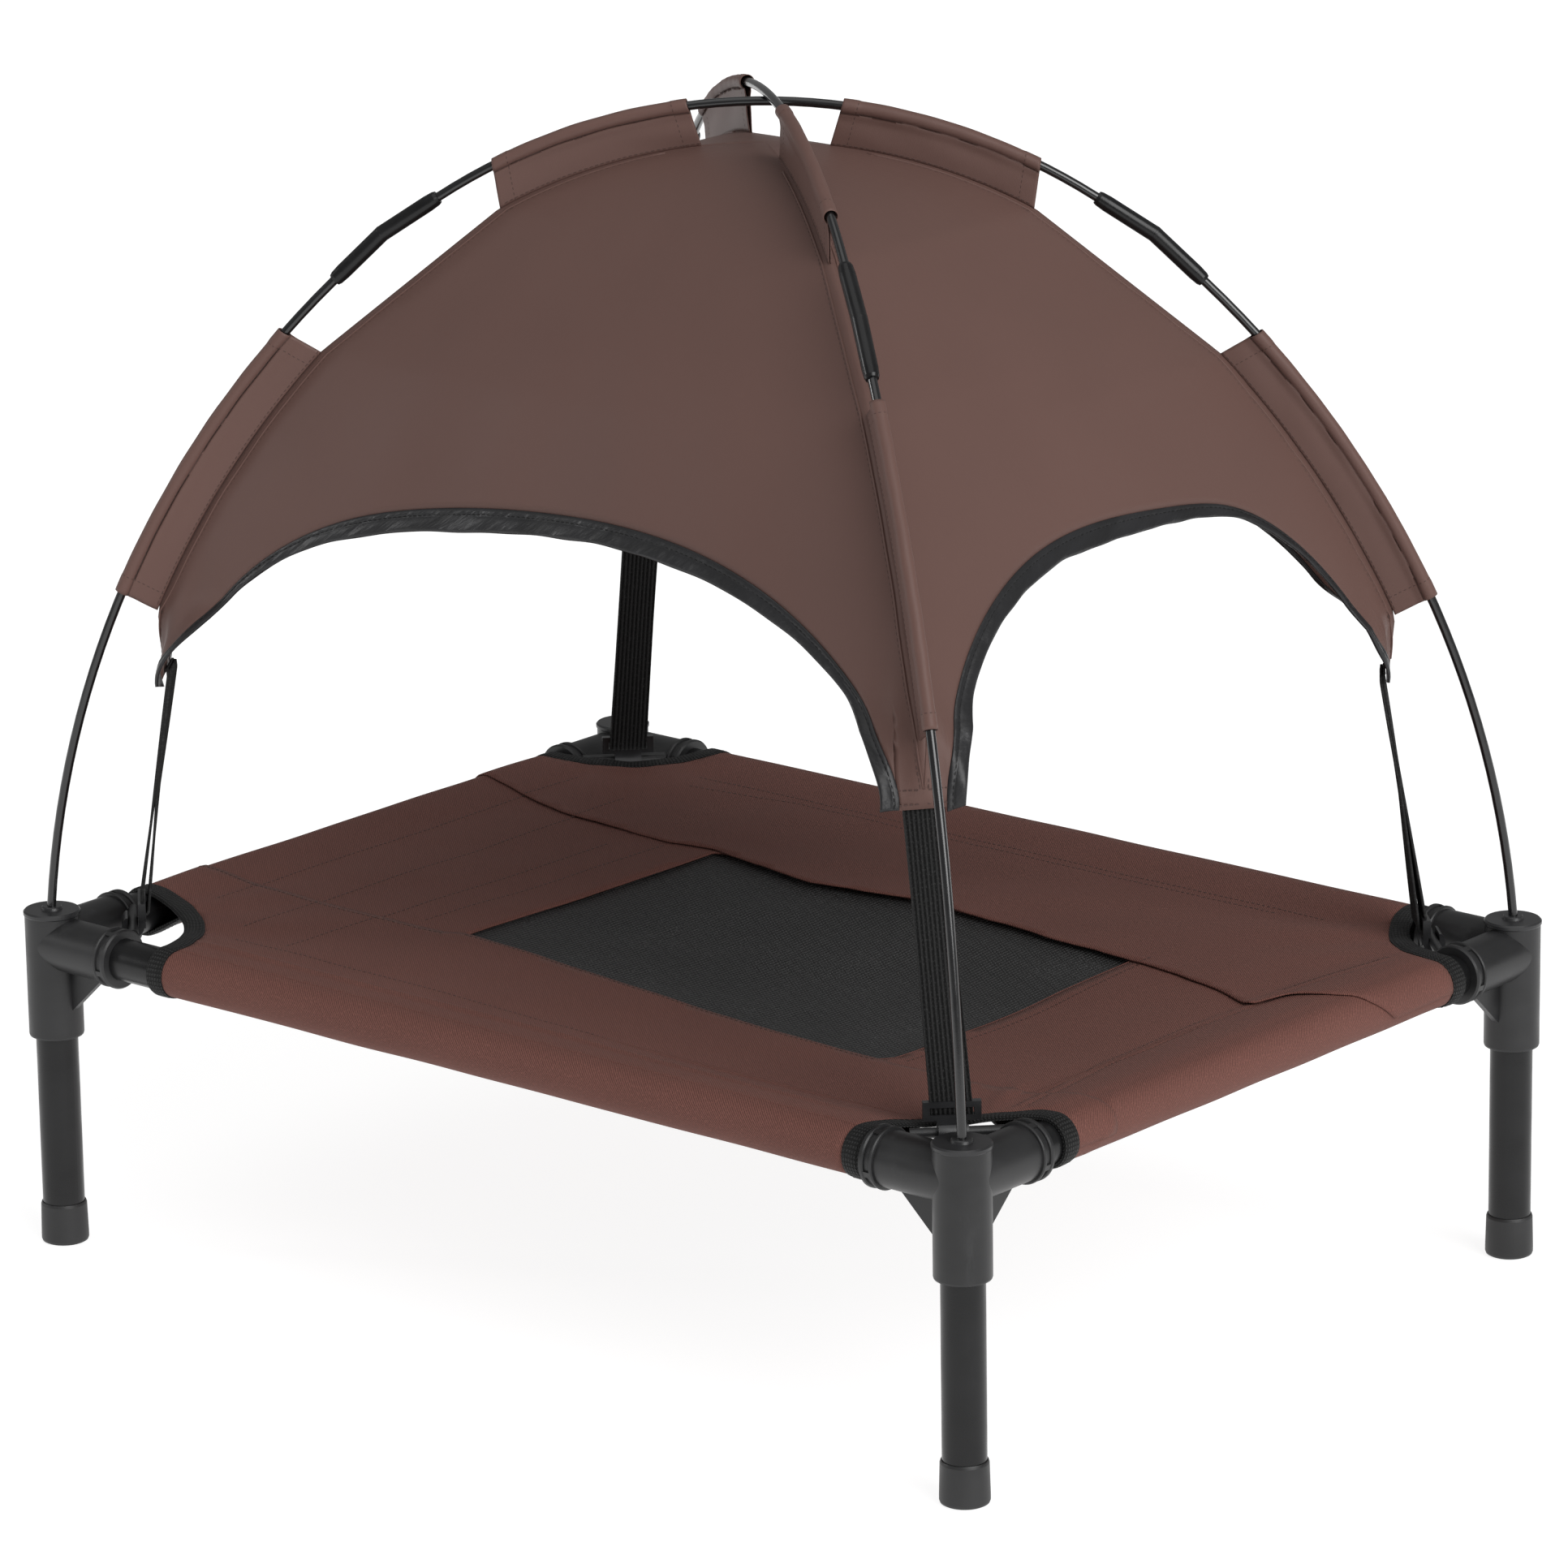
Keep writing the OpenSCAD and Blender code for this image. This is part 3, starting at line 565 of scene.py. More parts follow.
def elastic(name, colour):
    paint = Paint(name, colour, 0.75, Specular_IOR_Level=0.16, Sheen_Weight=0.02, Sheen_Roughness=0.6)
    cross = paint.bands(0.0009, paint.cloth(), "X", 0.5, 1)
    rib = paint.bands(0.00217, paint.cloth(), "Y", 0.1, 0)
    # Rib tops are painted light and the grooves dark: painted highlight and painted shade of the ribs. The
    # glint mask below adds painted glints.
    rib_light_and_shade = paint.ramp(rib, (0.2, shade(colour, 0.2)), (0.75, shade(colour, 2.4)))
    glint = paint.mask(paint.noise(1, 2, paint.cloth((900, 1500, 1))), 0.54, 0.7, top=0.5)
    ribbed = paint.mix(paint.math("MULTIPLY", cross, 0.25), rib_light_and_shade, shade(colour, 0.7))
    paint.colour(paint.mix(glint, ribbed, shade(colour, 6)))
    paint.bump((rib, 0.8, 0.0006), (cross, 0.25, 0.0002), (paint.noise(1800, 2), 0.35, 0.0002))
    return paint.material


def mesh_cloth(name, colour):
    """Knitted mesh: columns of small loops set like bricks, with slubs, glint flecks painted in patches of
    painted highlight, and holes painted near black as painted shade.
    """
    paint = Paint(name, colour, 0.5, Specular_IOR_Level=0.26, Sheen_Weight=0.02, Sheen_Roughness=0.5)
    columns = paint.bands(0.0024, paint.cloth(), "X", 1.0, 2)
    rows = paint.bands(0.0017, paint.cloth(), "Y", 0.8, 2)
    shifted = paint.bands(0.0017, paint.cloth(turn=38), "Y", 0.6, 1)
    loops = paint.math("MULTIPLY", columns, paint.math("MAXIMUM", rows, shifted))
    slub = paint.noise(1, 3, paint.cloth((620, 110, 1)))
    # Painted glints: light flecks, shown only inside patches of painted highlight, where the knit's threads
    # would catch the light.
    glint_fleck = paint.mask(paint.noise(1, 2, paint.cloth((900, 900, 1))), 0.58, 0.7)
    sheen_patch = paint.mask(paint.noise(13, 2), 0.45, 0.68, bottom=0.15)
    threads = paint.mix(slub, shade(colour, 0.6), shade(colour, 3.0))
    # The gaps between the loops are painted near black: painted shade seen through the holes of the mesh.
    threads_and_hole_shade = paint.mix(paint.mask(loops, 0.16, 0.5), shade(colour, 0.12), threads)
    paint.colour(paint.mix(paint.math("MULTIPLY", paint.math("MULTIPLY", glint_fleck, sheen_patch), 0.8), threads_and_hole_shade,
                           shade(colour, 5.5)))
    paint.rough(slub, 0.38, 0.66)
    paint.bump((slub, 0.4, 0.0007), (loops, 0.9, 0.0007))
    return paint.material


def moulded(name, colour, roughness, grain=900, coat=0.0, scuff=1.0, shine=0.5):
    """Injection-moulded plastic: fine grain, faint flow marks and a few dull scuffs."""
    paint = Paint(name, colour, roughness, Specular_IOR_Level=shine, Coat_Weight=coat, Coat_Roughness=0.2)
    flow = paint.noise(30, 5, paint.coords(scale=(1, 1, 2)))
    fine = paint.noise(grain, 2)
    marks = paint.mask(paint.noise(1, 6, paint.coords(scale=(60, 60, 22)), 0.7), 0.6, 0.78)
    base = paint.ramp(flow, (0.32, shade(colour, 0.7)), (0.68, shade(colour, 1.35)))
    paint.colour(paint.mix(paint.math("MULTIPLY", marks, 0.45 * scuff), base, shade(colour, 3.2)))
    worn = paint.math("MULTIPLY_ADD", marks, 0.5)
    paint.link(flow, worn.node.inputs[2])
    paint.rough(worn, roughness - 0.14, roughness + 0.22)
    paint.bump((flow, 0.12, 0.0012), (fine, 0.12, 0.00012))
    return paint.material


CANOPY_COLOUR = (0.112, 0.062, 0.052)
SLING_COLOUR = (0.158, 0.067, 0.054)
CANOPY = canopy_cloth("canopy_cloth", CANOPY_COLOUR)
# The same canopy cloth painted 6% lighter for the sleeves and felled seams: painted light that these raised
# folds catch.
CANOPY_PAINTED_LIGHTER = canopy_cloth("canopy_cloth_painted_lighter", shade(CANOPY_COLOUR, 1.06))
SLING = sling_cloth("sling_twill", SLING_COLOUR)
MESH = mesh_cloth("mesh_knit", (0.028, 0.028, 0.028))
BINDING = webbing("cut_out_webbing", (0.011, 0.011, 0.011), 0.0019, 1.0)
TAPE = tape_satin("arch_satin_tape", (0.011, 0.011, 0.012))
ELASTIC = elastic("ribbed_elastic", (0.008, 0.008, 0.008))
# Stitch thread at 0.3 of the sling's colour: the thread's own darker brown plus painted shade of the puckered
# seams.
BROWN_THREAD_AND_SEAM_SHADE = canopy_cloth("brown_thread_and_seam_shade", shade(SLING_COLOUR, 0.3))
THREAD_CANOPY = canopy_cloth("canopy_thread", shade(CANOPY_COLOUR, 0.6))
THREAD_BLACK = webbing("black_thread", (0.012, 0.012, 0.012), 0.0005, 0.3)
CONNECTOR = moulded("moulded_black", (0.014, 0.014, 0.0145), 0.36, shine=0.46)
SOCKET = moulded("pole_socket_black", (0.018, 0.018, 0.019), 0.32)
FOOT = moulded("foot_cap_black", (0.014, 0.014, 0.0145), 0.46, grain=500)
STEEL = moulded("coated_steel", (0.007, 0.007, 0.0074), 0.26, grain=2200, scuff=0.5, shine=0.34)
ROD = moulded("glossy_rod", (0.006, 0.006, 0.0065), 0.16, grain=3000, coat=0.5, scuff=0.3)
FERRULE = moulded("ferrule_coating", (0.006, 0.006, 0.0064), 0.24, grain=1500, scuff=1.4, shine=0.36)
HOOK = moulded("hook_plastic", (0.014, 0.014, 0.015), 0.28, grain=1200, coat=0.1, scuff=0.5)

NODE_MATERIALS = {
    "connector": CONNECTOR, "pole_socket": SOCKET, "leg_tube": STEEL, "foot_cap": FOOT,
    "side_tube": STEEL, "lower_rod": ROD, "crown_rod": ROD, "ferrule": FERRULE, "strap_hook": HOOK,
}
for node_name, node_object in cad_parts.items():
    for ending, material in NODE_MATERIALS.items():
        if node_name.endswith(ending):
            for holder in node_object.material_slots:
                holder.material = material


# ---------------------------------------------------------------- canopy cloth
CANOPY_ROWS = 64
ARCH_STEPS = 84
TIP_COLS = 5
CANOPY_THICKNESS = 0.5


def cloth_relief(side, u, z):
    """How far the canopy cloth stands out from its smooth form: slack, puckers and tip creases."""
    left, right = LEFT_RIGHT[side]
    along = side_axes(side)[0]
    half = ridge(z, left % 2) * along
    from_ridge = (1 - np.abs(u)) * half
    low = np.clip((CROWN_START_Z - z) / 130, 0, 1)
    slack = 1.1 * wave(u * 3.2 + side, z / 95, seed=3 + side, octaves=2) * low
    puckers = 0.55 * wave(z / 7.5, from_ridge / 34, seed=20 + side, octaves=2) * np.exp(-from_ridge / 9)
    tip = np.where(u < 0, TIP_Z[left % 2], TIP_Z[right % 2])
    near_tip = np.exp(-((z - tip) / 38) ** 2) * np.exp(-(from_ridge / 26) ** 2)
    creases = 1.5 * np.sin(from_ridge / 3.1 + (z - tip) / 11 + side) * near_tip
    hemmed = 1 - np.exp(-((z - tip) / 9) ** 2) * np.exp(-(from_ridge / 20) ** 4)
    return (slack + puckers + creases) * smooth(from_ridge / 2.5) * hemmed


def cloth_point(side, u, z, lift=0.0):
    rise = cloth_relief(side, u, z) + lift
    return on_panel(side, u, z) + normal_at(side, u, z) * np.asarray(rise)[..., None]


def gore(side):
    """One gore of the canopy from the crown down to its arch, as points, faces and cloth coordinates."""
    theta = np.linspace(0, math.pi, ARCH_STEPS + 1)
    x, z = arch(side, ARCH_BROWN, theta)
    left, right = LEFT_RIGHT[side]
    z[0], z[-1] = TIP_Z[left % 2], TIP_Z[right % 2]
    u = share_at(side, x, z)
    into = np.linspace(0, 1, TIP_COLS, endpoint=False)
    foot_u = np.concatenate([-1 + (u[0] + 1) * into, u, 1 + (u[-1] - 1) * into[::-1]])
    foot_z = np.concatenate([np.full(TIP_COLS, z[0]), z, np.full(TIP_COLS, z[-1])])
    even = np.linspace(-1, 1, len(foot_u))
    w = (np.arange(CANOPY_ROWS + 1) / CANOPY_ROWS)[:, None]
    grid_u = even + (foot_u - even) * w ** 1.3
    grid_z = CROWN_START_Z - (CROWN_START_Z - foot_z) * w ** 1.7
    points = cloth_point(side, grid_u, grid_z)
    half = ridge(grid_z, 0) * side_axes(side)[0]
    uv = np.stack([grid_u * half, grid_z * 1.25], -1) * MM
    rows, cols = grid_u.shape
    return points.reshape(-1, 3), grid_faces(rows, cols), uv.reshape(-1, 2)


gores = [gore(side) for side in range(4)]
points, faces, uv = joined(gores)
canopy = mesh_object("canopy_cloth", points, faces, CANOPY, uv=uv)
bm = bmesh.new()
bm.from_mesh(canopy.data)
bmesh.ops.remove_doubles(bm, verts=bm.verts, dist=0.00012)
rim = [e for e in bm.edges if e.is_boundary and all(v.co.z > (CROWN_START_Z - 1) * MM for v in e.verts)]
bmesh.ops.holes_fill(bm, edges=rim, sides=0)
bmesh.ops.recalc_face_normals(bm, faces=bm.faces)
CANOPY_AREA = sum(f.calc_area() for f in bm.faces)
bm.to_mesh(canopy.data)
bm.free()
canopy.data.polygons.foreach_set("use_smooth", np.full(len(canopy.data.polygons), True))
thicken(canopy, CANOPY_THICKNESS)
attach(canopy, "dome")
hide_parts(*[f"{side}_canopy_panel" for side in SIDES])


# ---------------------------------------------------------------- arch tapes
TAPE_STEPS = 200
TAPE_CLOTH_W = 11.0
# Where the tape's inner stitch line runs, as a share from the brown edge
TAPE_SEAM = 0.23
# Cross-section of a tape, (share from the brown edge to the free edge, height over the cloth)
TAPE_OUTSIDE = [(-0.07, 0.45), (-0.03, 0.75), (0.08, 0.8), (0.2, 0.85), (0.27, 0.55), (0.33, 0.75),
                (0.5, 0.9), (0.7, 0.95), (0.88, 0.9), (0.97, 0.7), (1.02, 0.1)]
TAPE_INSIDE = [(0.98, -0.55), (0.85, -0.8), (0.6, -0.85), (0.33, -0.75), (0.27, -0.6), (0.2, -0.8),
               (0.0, -0.75), (-0.07, -0.45)]


def arch_tape(side):
    theta = np.linspace(0, math.pi, TAPE_STEPS + 1)
    x0, z0 = arch(side, ARCH_BROWN, theta)
    x1, z1 = arch(side, ARCH_FREE, theta)
    run = run_along(np.stack([x1, z1], -1))
    rows = []
    for share, height in TAPE_OUTSIDE + TAPE_INSIDE:
        x, z = x0 + (x1 - x0) * share, z0 + (z1 - z0) * share
        u = share_at(side, x, z)
        body = smooth((share - 0.27) / 0.15) * smooth((1.05 - share) / 0.2)
        wrinkle = 0.42 * wave(run / 6.0 + share * 2.2, share * 2.0, seed=40 + side, octaves=3) * body
        stitch_pull = 0.12 * np.sin(run * 2 * math.pi / 3.1) * np.exp(-((share - 0.24) / 0.06) ** 2)
        lift = height + (wrinkle + stitch_pull) * np.sign(height)
        waver = 0.8 * wave(run / 14, share, seed=50 + side) * smooth((share - 0.5) / 0.5)
        z = z + waver
        rows.append(cloth_point(side, u, z, lift))
    across = np.array([p[0] for p in TAPE_OUTSIDE + TAPE_INSIDE]) * TAPE_CLOTH_W
    made = band_object(f"{SIDES[side]}_arch_tape", np.stack(rows, 1), run, across, TAPE)
    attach(made, "dome")
    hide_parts(f"{SIDES[side]}_arch_binding")
    seam_x, seam_z = x0 + (x1 - x0) * TAPE_SEAM, z0 + (z1 - z0) * TAPE_SEAM
    seam_u = share_at(side, seam_x, seam_z)
    path = cloth_point(side, seam_u, seam_z, 0.75)
    return made, run[-1], stitches(path, normal_at(side, seam_u, seam_z), 3.1, width=0.3, rise=0.2)


black_seams = []
for side in range(4):
    tape_object, tape_length, seam = arch_tape(side)
    black_seams += seam
arch_stitches = joined_object("arch_tape_stitches", black_seams, THREAD_BLACK)
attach(arch_stitches, "dome")


# ---------------------------------------------------------------- pole sleeves
def diag_point(corner, r, z, aside=0.0):
    """A point of a corner's pole plane; aside is its distance from that plane, counter-clockwise."""
    sx, sy = SIGNS[corner]
    out = np.array([sx * DIAG[0], sy * DIAG[1]])
    turn = np.array([-out[1], out[0]])
    r, z, aside = np.broadcast_arrays(np.asarray(r, float), z, aside)
    flat = r[..., None] * out + aside[..., None] * turn
    return np.concatenate([flat, z[..., None]], -1)


SLEEVE_THICKNESS = 0.4
SLEEVE_RADIUS = 3.25
SLEEVE_ROWS = 90
# How far the hem's stitches are from a sleeve's end
HEM_INSET = 8.0


def sleeve(corner, name, rod_line, seam_line, seed):
    """A cloth tunnel sewn to a ridge: one layer goes up one side, round the rod and down the other."""
    steps = SLEEVE_ROWS
    rod = spaced(rod_line, 0.5)[0]
    rod = rod[np.linspace(0, len(rod) - 1, steps).astype(int)]
    seam = spaced(seam_line, 0.5)[0]
    seam = seam[np.linspace(0, len(seam) - 1, steps).astype(int)]
    out = rod - seam
    depth = np.linalg.norm(out, axis=1)
    out /= depth[:, None]
    run = np.linspace(0, 1, steps) * np.linalg.norm(np.diff(rod, axis=0), axis=1).sum()
    radius = SLEEVE_RADIUS
    web = np.linspace(0, 1, 15)
    turn = np.radians(np.linspace(-62, 242, 19))
    edge_hem = smooth((9.5 - np.minimum(run, run[-1] - run)) / 2.2)
    columns = []
    for sign, order in ((1, web), (0, turn), (-1, web[::-1])):
        for value in order:
            if sign:
                high = value * (depth - radius * 0.88)
                wide = 0.45 + (radius * 0.45 - 0.45) * smooth((value - 0.72) / 0.28)
                billow = 0.55 * wave(run / 17, value * 1.6, seed=seed + (sign > 0), octaves=2)
                wide = (wide + (billow + 0.25) * math.sin(math.pi * value) ** 0.8) * sign
                wide = wide + 0.6 * wave(run / 30, value, seed=seed + 5) * math.sin(math.pi * value)
            else:
                lumps = 0.22 * wave(run / 6, math.cos(value), seed=seed + 9, octaves=2)
                size = radius + lumps + 0.25 * edge_hem
                high = depth + size * np.sin(value)
                wide = size * np.cos(value)
            place = seam + out * high[:, None]
            columns.append(diag_point(corner, place[:, 0], place[:, 1], wide))
    points = np.stack(columns, 1)
    cols = points.shape[1]
    spread = run_along(points[steps // 2])
    made = mesh_object(f"{CORNERS[corner]}_{name}_cloth", points.reshape(-1, 3), grid_faces(steps, cols),
                       CANOPY_PAINTED_LIGHTER, uv=band_uv(run, spread))
    thicken(made, SLEEVE_THICKNESS)
    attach(made, "dome")
    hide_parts(f"{CORNERS[corner]}_{name}")
    # hem stitches round both ends, and the seam along the ridge, on both faces
    seams, hems = [], []
    for row in [int(np.argmin(np.abs(run - at))) for at in (HEM_INSET, run[-1] - HEM_INSET)]:
        line = points[row]
        face = unit(np.cross(points[row + 1] - line, np.gradient(line, axis=0)))
        face *= np.sign(face[cols // 2] @ (line[cols // 2] - line[0]))
        hems += stitches(line + face * 0.22, face, 2.6, width=0.28, rise=0.2)
    for column, toward in ((1, -1), (cols - 2, 1)):
        line = points[:, column]
        nxt = points[:, column + (1 if toward < 0 else -1)]
        face = np.cross(np.gradient(line, axis=0), nxt - line)
        seams.append((line, face))
    parts = []
    centre = points.mean(axis=(0, 1))
    for line, face in seams:
        face = unit(face)
        sx, sy = SIGNS[corner]
        side_way = np.array([-sy * DIAG[1], sx * DIAG[0], 0])
        sign = np.sign(((line - centre) @ side_way).mean() or 1)
        face *= np.sign((face @ side_way).mean() * sign) or 1
        parts += stitches(line + face * 0.25, face, 2.8, width=0.28, rise=0.2)
    return made, (spread[-1], run[-1]), parts + hems


def arc_line(centre, radius, start, end, count=40):
    a = np.linspace(start, end, count)
    return np.stack([centre[0] + radius * np.cos(a), centre[1] + radius * np.sin(a)], -1)


brown_seams = []
for corner in range(4):
    pole = corner % 2
    centre_z, radius, _ = CROWN[pole]
    upper_rod = arc_line((0, centre_z), radius, math.acos(37 / radius), math.acos(132 / radius))
    upper_seam = arc_line((0, CROWN[0][0]), RIDGE_R, math.acos(31 / RIDGE_R), math.acos(129 / RIDGE_R))
    lower_centre, lower_radius = LOWER[pole]
    rod_z = np.linspace(SEAM_HIGH[pole] + 10, SEAM_LOW[pole] + 9, 60)
    rod_r = lower_centre[0] + np.sqrt(lower_radius ** 2 - (rod_z - lower_centre[1]) ** 2)
    lower_rod = np.stack([rod_r, rod_z], -1)
    seam_z = np.linspace(SEAM_HIGH[pole], SEAM_LOW[pole], 60)
    lower_seam = np.stack([low_ridge(seam_z, pole), seam_z], -1)
    for name, rod_line, seam_line in (("upper_sleeve", upper_rod, upper_seam),
                                      ("lower_sleeve", lower_rod, lower_seam)):
        made, size, seams = sleeve(corner, name, rod_line, seam_line, 60 + 7 * corner + len(name))
        brown_seams += seams


# ---------------------------------------------------------------- sling: the flat pattern and its place
# The sling is one cloth, cut flat at (s, t) and wrapped over the side tubes: beyond a tube's axis line
# it turns round the tube and comes back under the bed to its seam.
CLOTH_R = TUBE_R + 0.8
CUT_LONG = (86.0, 60.0, 62.0, 69.0)
CUT_SHORT = (71.0, 69.0, 65.0, 62.0)
CUT_POWER = 1.18
SEAM_INSET = 36.0
LEVEL = TUBE_Z + 8.7
SAG = 7.5


def right_seam(t):
    """Where the right side's double seam runs."""
    return np.interp(t, (-146, -60, 10, 80, 147), (265, 251, 250, 257, 268))


def sheet_height(s, t):
    """Height of the sling's cloth over the bed."""
    s, t = np.asarray(s, float), np.asarray(t, float)
    edge = np.minimum(HALF_L - np.abs(s), HALF_W - np.abs(t))
    sag = SAG * np.exp(-((s - 118) / 150) ** 2 - ((t + 62) / 128) ** 2)
    sag = sag + 1.6 * np.exp(-((s + 60) / 160) ** 2 - (t / 110) ** 2)
    soft = 0.55 * wave(s / 62, t / 48, seed=4, octaves=2) + 0.22 * wave(s / 21, t / 17, seed=5, octaves=2)
    inner = LEVEL - sag + soft * smooth(edge / 30)
    crease_line = 19 + 2.5 * wave(s / 60, seed=6)
    crease = 2.0 * np.exp(-((HALF_W + t - crease_line) / 2.6) ** 2) * (0.8 + 0.35 * wave(s / 45, seed=7))
    crease = crease * smooth((HALF_L - 70 - np.abs(s)) / 40)
    fold = 1.5 * np.exp(-((s - 245 + (t + 120) * 0.35) / 5) ** 2 - ((t + 128) / 22) ** 2)
    pull = 0
    for (sx, sy), cut in zip(SIGNS, CUT_LONG):
        dx, dy = HALF_L - s * sx, HALF_W - t * sy
        angle = np.arctan2(dy, dx)
        reach = np.hypot(dx, dy)
        pull = pull + 0.42 * np.sin(angle * 15 + cut) * np.exp(-((reach - cut - 22) / 40) ** 2)
    seam = s - right_seam(t)
    ends = smooth((152 - np.abs(t)) / 14)
    sewn = (0.7 * smooth((seam + 3) / 4) - 0.6 * np.exp(-(seam / 1.6) ** 2)
            - 0.6 * np.exp(-((seam - 6.5) / 1.6) ** 2)) * ends * smooth((HALF_L - s) / 8)
    top = TUBE_Z + CLOTH_R
    share = smooth(edge / 42)
    return top + (inner + pull - top) * share + crease + fold + sewn


# A flap turns round its tube by LAST_TURN, then runs straight to its seam under the bed
SEAM_RISE = LEVEL - TUBE_Z - 1.6
SEAM_REACH = math.hypot(SEAM_INSET, SEAM_RISE)
LAST_TURN = math.radians(270) - math.acos(CLOTH_R / SEAM_REACH) + math.atan2(SEAM_RISE, SEAM_INSET)
FLAP = CLOTH_R * LAST_TURN + math.sqrt(SEAM_REACH ** 2 - CLOTH_R ** 2)


def flap_place(e, h):
    """Outward distance from the tube's axis line and height, for a flap's cloth e beyond that line."""
    turn = np.minimum(e / CLOTH_R, LAST_TURN)
    rest = np.maximum(0, e - CLOTH_R * LAST_TURN)
    out = (CLOTH_R + h) * np.sin(turn) + rest * math.cos(LAST_TURN)
    up = (CLOTH_R + h) * np.cos(turn) - rest * math.sin(LAST_TURN)
    return out, TUBE_Z + up


def cloth_place(s, t, h=0.0):
    """Where a point of the flat pattern lies, h out from the cloth's middle."""
    s, t, h = np.broadcast_arrays(np.asarray(s, float), np.asarray(t, float), np.asarray(h, float))
    in_s, in_t = np.clip(s, -HALF_L, HALF_L), np.clip(t, -HALF_W, HALF_W)
    z = sheet_height(in_s, in_t)
    slope_s = (sheet_height(in_s + 0.8, in_t) - sheet_height(in_s - 0.8, in_t)) / 1.6
    slope_t = (sheet_height(in_s, in_t + 0.8) - sheet_height(in_s, in_t - 0.8)) / 1.6
    size = np.sqrt(1 + slope_s ** 2 + slope_t ** 2)
    flat = np.stack([in_s - h * slope_s / size, in_t - h * slope_t / size, z + h / size], -1)
    lumps = 0.22 * wave(s / 26, t / 26, seed=8, octaves=2)
    past = np.maximum(np.abs(s) - HALF_L, 0)
    lumps = lumps + 1.1 * np.exp(-((t + 108 + past * 0.8) / 3.6) ** 2 - ((past - 10) / 15) ** 2) * (s > 0)
    over_s, over_t = np.abs(s) - HALF_L, np.abs(t) - HALF_W
    out_s, up_s = flap_place(np.maximum(over_s, 0), h + lumps * smooth(over_s / 6))
    out_t, up_t = flap_place(np.maximum(over_t, 0), h + lumps * smooth(over_t / 6))
    round_s = np.stack([np.sign(s) * (HALF_L + out_s), t, up_s], -1)
    round_t = np.stack([s, np.sign(t) * (HALF_W + out_t), up_t], -1)
    place = np.where((over_s > 0)[..., None], round_s, flat)
    return np.where((over_t > 0)[..., None], round_t, place)


def cut_line(corner, inset=0.0, count=26):
    """A corner's cut-out in the flat pattern, from the long tube round to the short tube."""
    sx, sy = SIGNS[corner]
    a = np.linspace(0, math.pi / 2, count)
    x = HALF_L - (CUT_LONG[corner] + inset) * np.cos(a) ** CUT_POWER
    y = HALF_W - (CUT_SHORT[corner] + inset) * np.sin(a) ** CUT_POWER
    return np.stack([sx * x, sy * y], -1)


def pattern_outline(flap, inset=0.0):
    """The sling's outline, counter-clockwise, with flaps of a given length."""
    loop = []
    for corner in range(4):
        sx, sy = SIGNS[corner]
        line = cut_line(corner, inset)
        ends = [line[0] + [0, sy * flap], line[-1] + [sx * flap, 0]]
        whole = np.concatenate([ends[:1], line, ends[1:]])
        # corners 1 and 3 are met at their long tube first
        loop.append(whole if corner in (1, 3) else whole[::-1])
    return np.concatenate(loop)


def inside(points, loop):
    x, y = points[:, 0], points[:, 1]
    hit = np.zeros(len(points), bool)
    for (x0, y0), (x1, y1) in zip(loop, np.roll(loop, -1, 0)):
        crosses = (y0 > y) != (y1 > y)
        if y0 != y1:
            hit ^= crosses & (x < (x1 - x0) * (y - y0) / (y1 - y0) + x0)
    return hit


def closed(loop, step):
    return spaced(np.concatenate([loop, loop[:1]]), step)[0][:-1]


def lines(half, flap):
    """Grid lines across the pattern: close together where the cloth turns."""
    inner = np.concatenate([np.arange(0, half - 48, 5.5), np.arange(half - 48, half - 34, 2.4)])
    near = np.arange(half - 34, half, 1.6)
    turn = np.arange(half, half + min(flap, CLOTH_R * LAST_TURN), 2.3)
    tail = np.arange(half + CLOTH_R * LAST_TURN + 4, half + flap, 7)
    side = np.concatenate([inner[1:], near, turn, tail])
    return np.concatenate([-side[::-1], [0], side])


# Grid points closer to the outline than this share of its step are left out, worked out in batches
RIM_CLEARANCE = 0.62
RIM_BATCH = 60


